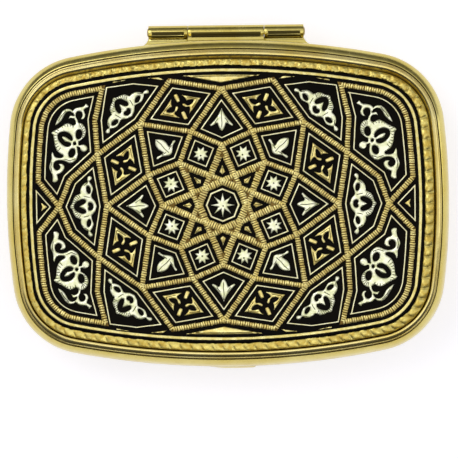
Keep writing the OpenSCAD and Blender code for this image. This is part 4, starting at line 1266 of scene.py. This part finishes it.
def arabesques():
    """The six hearts and the four corner scrolls: pierced silver foil chased with short strokes."""
    fan = []
    for x, y, dx, dy in ((0, 2.2, 0, -1), (0.3, 2.08, -0.12, -1), (0.58, 1.96, -0.2, -1), (0.86, 1.84, -0.35, -0.9),
                         (1.12, 1.68, -0.5, -0.85), (1.36, 1.45, -0.7, -0.7), (1.52, 1.18, -0.85, -0.5)):
        n = hypot(dx, dy)
        fan += [[(side * x, y), (side * (x + 0.4 * dx / n), y + 0.4 * dy / n)] for side in (-1, 1)]
    for (x0, y0), (x1, y1) in (((1.35, 0.45), (1.2, -0.2)), ((2.75, 0.38), (3.05, -0.05))):
        fan += [[(side * x0, y0), (side * x1, y1)] for side in (-1, 1)]
    parts = []
    for kx, ky, r, angles in ((0.99, 0.95, 17.4, (0,)), (0.99, 0.95, 17.3, (180,)),
                              (0.97, 0.93, 17.35, (45, 135, 225, 315))):
        loops = [smooth(both_sides(stretched(h, kx, ky)), 3) for h in (HEART, HEART_HOLE, HEART_LOW_HOLE)]
        loops += [oval(side * 2.15 * kx, -0.15, 0.5, 0.28, side * 12) for side in (1, -1)]
        heart = patch(loops, 0.18, 0.06, [stretched(stroke, kx, ky) for stroke in fan])
        parts += [raise_patch(heart, placing(r, a), 0.11, wave=0.035, tint=rng.uniform(0.42, 0.58))
                  for a in angles]
    foils("heart_foils", parts, SILVER_FOIL, "heart_arabesques")

    strokes = []
    for (x, y), (rx0, ry0), (rx1, ry1), angles in (
            ((0.75, 0), (1.62, 1.6524), (2.2, 2.2), range(118, -62, -13)),
            ((-0.8, 0.7), (0.55, 0.8), (0.85, 1.15), range(95, 230, 18))):
        for c, s in (polar(1, a) for a in angles):
            strokes.append([(x + rx0 * c, y + ry0 * s), (x + rx1 * c, y + ry1 * s)])
    strokes += [[(-0.1, -2.75), (0.5, -2.95), (1.1, -2.75)], [(1.9, 2.35), (1.5, 3), (1, 3.55)],
                [(2.95, -3.2), (3.08, -3.7), (2.95, -4.3)]]
    parts = []
    for side, x0, kx, ky in ((1, 19.35, 0.99, 0.97), (-1, 19, 0.94, 0.97)):
        loops = [smooth(stretched(shape, kx, ky), 2) for shape in (CORNER, CRESCENT)]
        loops += [oval(-0.8 * kx, 0.5 * ky, 0.42, 0.62, 8), oval(0.2 * kx, -1.95 * ky, 0.42, 0.6, 25),
                  oval(-0.2 * kx, -0.7 * ky, 0.2, 0.2)]
        corner = patch(loops, 0.18, 0.05, [stretched(stroke, kx, ky) for stroke in strokes])
        parts += [raise_patch(corner, lambda p: quadrant(p + [x0, 8.75], side, sy), 0.11, 0.05, 0.035,
                              tint=rng.uniform(0.42, 0.58)) for sy in (1, -1)]
    foils("corner_foils", parts, SILVER_FOIL, "corner_arabesques")


def edge_motifs():
    """Gold darts at the two sides, and the slivers and chips along the long edges."""
    parts = []
    for side, x in ((-1, -22.9), (1, 23.65)):
        outline = np.array([(-0.45, 0), (0.35, 0.55), (0.2, 0), (0.35, -0.55)]) * [side, 1] + [x, 0] + SHIFT
        parts.append(gold_patch(patch([outline], 0.15, 0.05), in_place))
    foils("side_dart_foils", parts, GOLD_FOIL, "side_darts")
    d = FIELD_IN - 0.05
    parts = []
    for side in (-1, 1):
        rise = side * (SHIFT - PLATE_AT)[1]
        edge = [(x, long_edge(x, d) - rise) for x in np.linspace(4.9, -4.9, 15)]
        sliver = quadrant([(0, 15.62)] + edge, 1, side)
        crease = [(x + SHIFT[0], side * (long_edge(x, d) - 0.2) + PLATE_AT[1])
                  for x in np.linspace(-3.6, 3.6, 9)]
        parts.append(gold_patch(patch([sliver], 0.2, 0.05, [crease]), in_place))
        for flank in (-1, 1):
            for chip in ([(7.3, 16.02), (9.4, 16.3), (7.9, 16.38)],
                         [(12.1, 16.1), (13.8, 15.72), (13.8, 15.9)]):
                flat = patch([quadrant(chip, flank, side)], 0.2, 0.04)
                parts.append(raise_patch(flat, in_place, 0.06, 0.04, 0.03))
    foils("sliver_foils", parts, GOLD_FOIL, "edge_slivers")


for make in (base_shell, base_collar, snap_catch, pill_tray, lid_shell, lid_bezel, thumb_lip, mirror,
             hinge_parts, milled_border, plaque_plate, lattice, thin_lines, silver_motifs, gold_motifs,
             arabesques, edge_motifs):
    make()
backing = frame["nodes"]["plaque_backing"].data.materials
backing.clear()
backing.append(pad_foam()[0])


# ---------------------------------------------------------------- floor, light and camera

def linked(name, data):
    thing = bpy.data.objects.new(name, data)
    bpy.context.scene.collection.objects.link(thing)
    return thing


def floor():
    """A wide pale floor just under the box."""
    s = Shade("floor", Roughness=0.9, Specular_IOR_Level=0.1, Emission_Color=(0.98, 0.97, 1, 1),
              Emission_Strength=0.58)
    material, _ = s.set(Base_Color=s.mix((222, 221, 225), (216, 215, 220), s.noise(0.01)))
    size, level = 3000 * MM, -0.05 * MM
    mesh = bpy.data.meshes.new("floor")
    mesh.from_pydata([(x * size, y * size, level) for x, y in ((-1, -1), (1, -1), (1, 1), (-1, 1))], [],
                     [(0, 1, 2, 3)])
    mesh.materials.append(material)
    linked("floor", mesh)


def ramp(tree, value, stops):
    n = tree.node("ShaderNodeValToRGB", {0: value})
    elements = n.color_ramp.elements
    while len(elements) < len(stops):
        elements.new(0.5)
    for e, (p, v) in zip(elements, stops):
        e.position = p
        e.color = (v, v, v * 1.01, 1)
    return n.outputs[0]


def world():
    """Soft studio surround: a ramp over height times a ramp over depth, brightest overhead."""
    surround = bpy.data.worlds.new("studio")
    bpy.context.scene.world = surround
    surround.use_nodes = True
    tree = Nodes(surround.node_tree)
    where = tree.node("ShaderNodeTexCoord", {}).outputs["Generated"]
    split = tree.node("ShaderNodeSeparateXYZ", {0: where}).outputs
    height = ramp(tree, split["Z"], [(0, 0.9), (0.1, 0.5), (0.3, 0.2), (0.55, 0.38), (0.75, 0.86), (1, 1)])
    half = tree.node("ShaderNodeMath", {0: split["Y"], 1: 0.5, 2: 0.5}, operation="MULTIPLY_ADD").outputs[0]
    depth = ramp(tree, half, [(0, 0.2), (0.28, 0.2), (0.42, 0.95), (0.66, 1), (0.8, 0.55), (1, 0.5)])
    both = tree.node("ShaderNodeMix", {0: 1, 6: height, 7: depth}, data_type="RGBA", blend_type="MULTIPLY")
    tree.feed(surround.node_tree.nodes["Background"], {"Color": both.outputs[2], "Strength": 1.05})


def area(name, size, power, place):
    """A rectangular lamp at a place in millimetres, aimed at the middle of the box."""
    light = bpy.data.lights.new(name, "AREA")
    light.shape = "RECTANGLE"
    light.size, light.size_y = size[0] * MM, size[1] * MM
    light.energy = power
    lamp = linked(name, light)
    lamp.location = Vector(place) * MM
    lamp.rotation_mode = "QUATERNION"
    lamp.rotation_quaternion = (Vector((0, 0, 10)) * MM - lamp.location).to_track_quat("-Z", "Y")


def camera():
    """Nearly straight down: leaning a little towards the hinge side and to the right, and rolled a little."""
    data = bpy.data.cameras.new("camera")
    data.lens, data.sensor_width = 182.3, 36
    data.clip_start, data.clip_end = 0.01, 10
    cam = linked("camera", data)
    bpy.context.scene.camera = cam
    distance_mm, aim = 300, Vector((0.11, -3.21, 9))
    lean_x, lean_y, roll = radians(1), radians(4), radians(0.68)
    offset = Vector((sin(lean_x), sin(lean_y), 0))
    offset.z = sqrt(1 - offset.x ** 2 - offset.y ** 2)
    cam.location = (aim + offset * distance_mm) * MM
    side = (-offset).cross(Vector((sin(roll), cos(roll), 0))).normalized()
    cam.rotation_mode = "QUATERNION"
    cam.rotation_quaternion = Matrix((side, side.cross(-offset), offset)).transposed().to_quaternion()


floor()
world()
for lamp_row in (("key", (300, 300), 0.6, (-240, 260, 560)), ("front", (400, 200), 0.35, (60, -220, 560)),
                 ("left", (160, 400), 0.12, (-520, -40, 240)), ("right", (160, 400), 0.25, (520, 0, 240))):
    area(*lamp_row)
camera()
bpy.context.scene.view_settings.view_transform = "Standard"
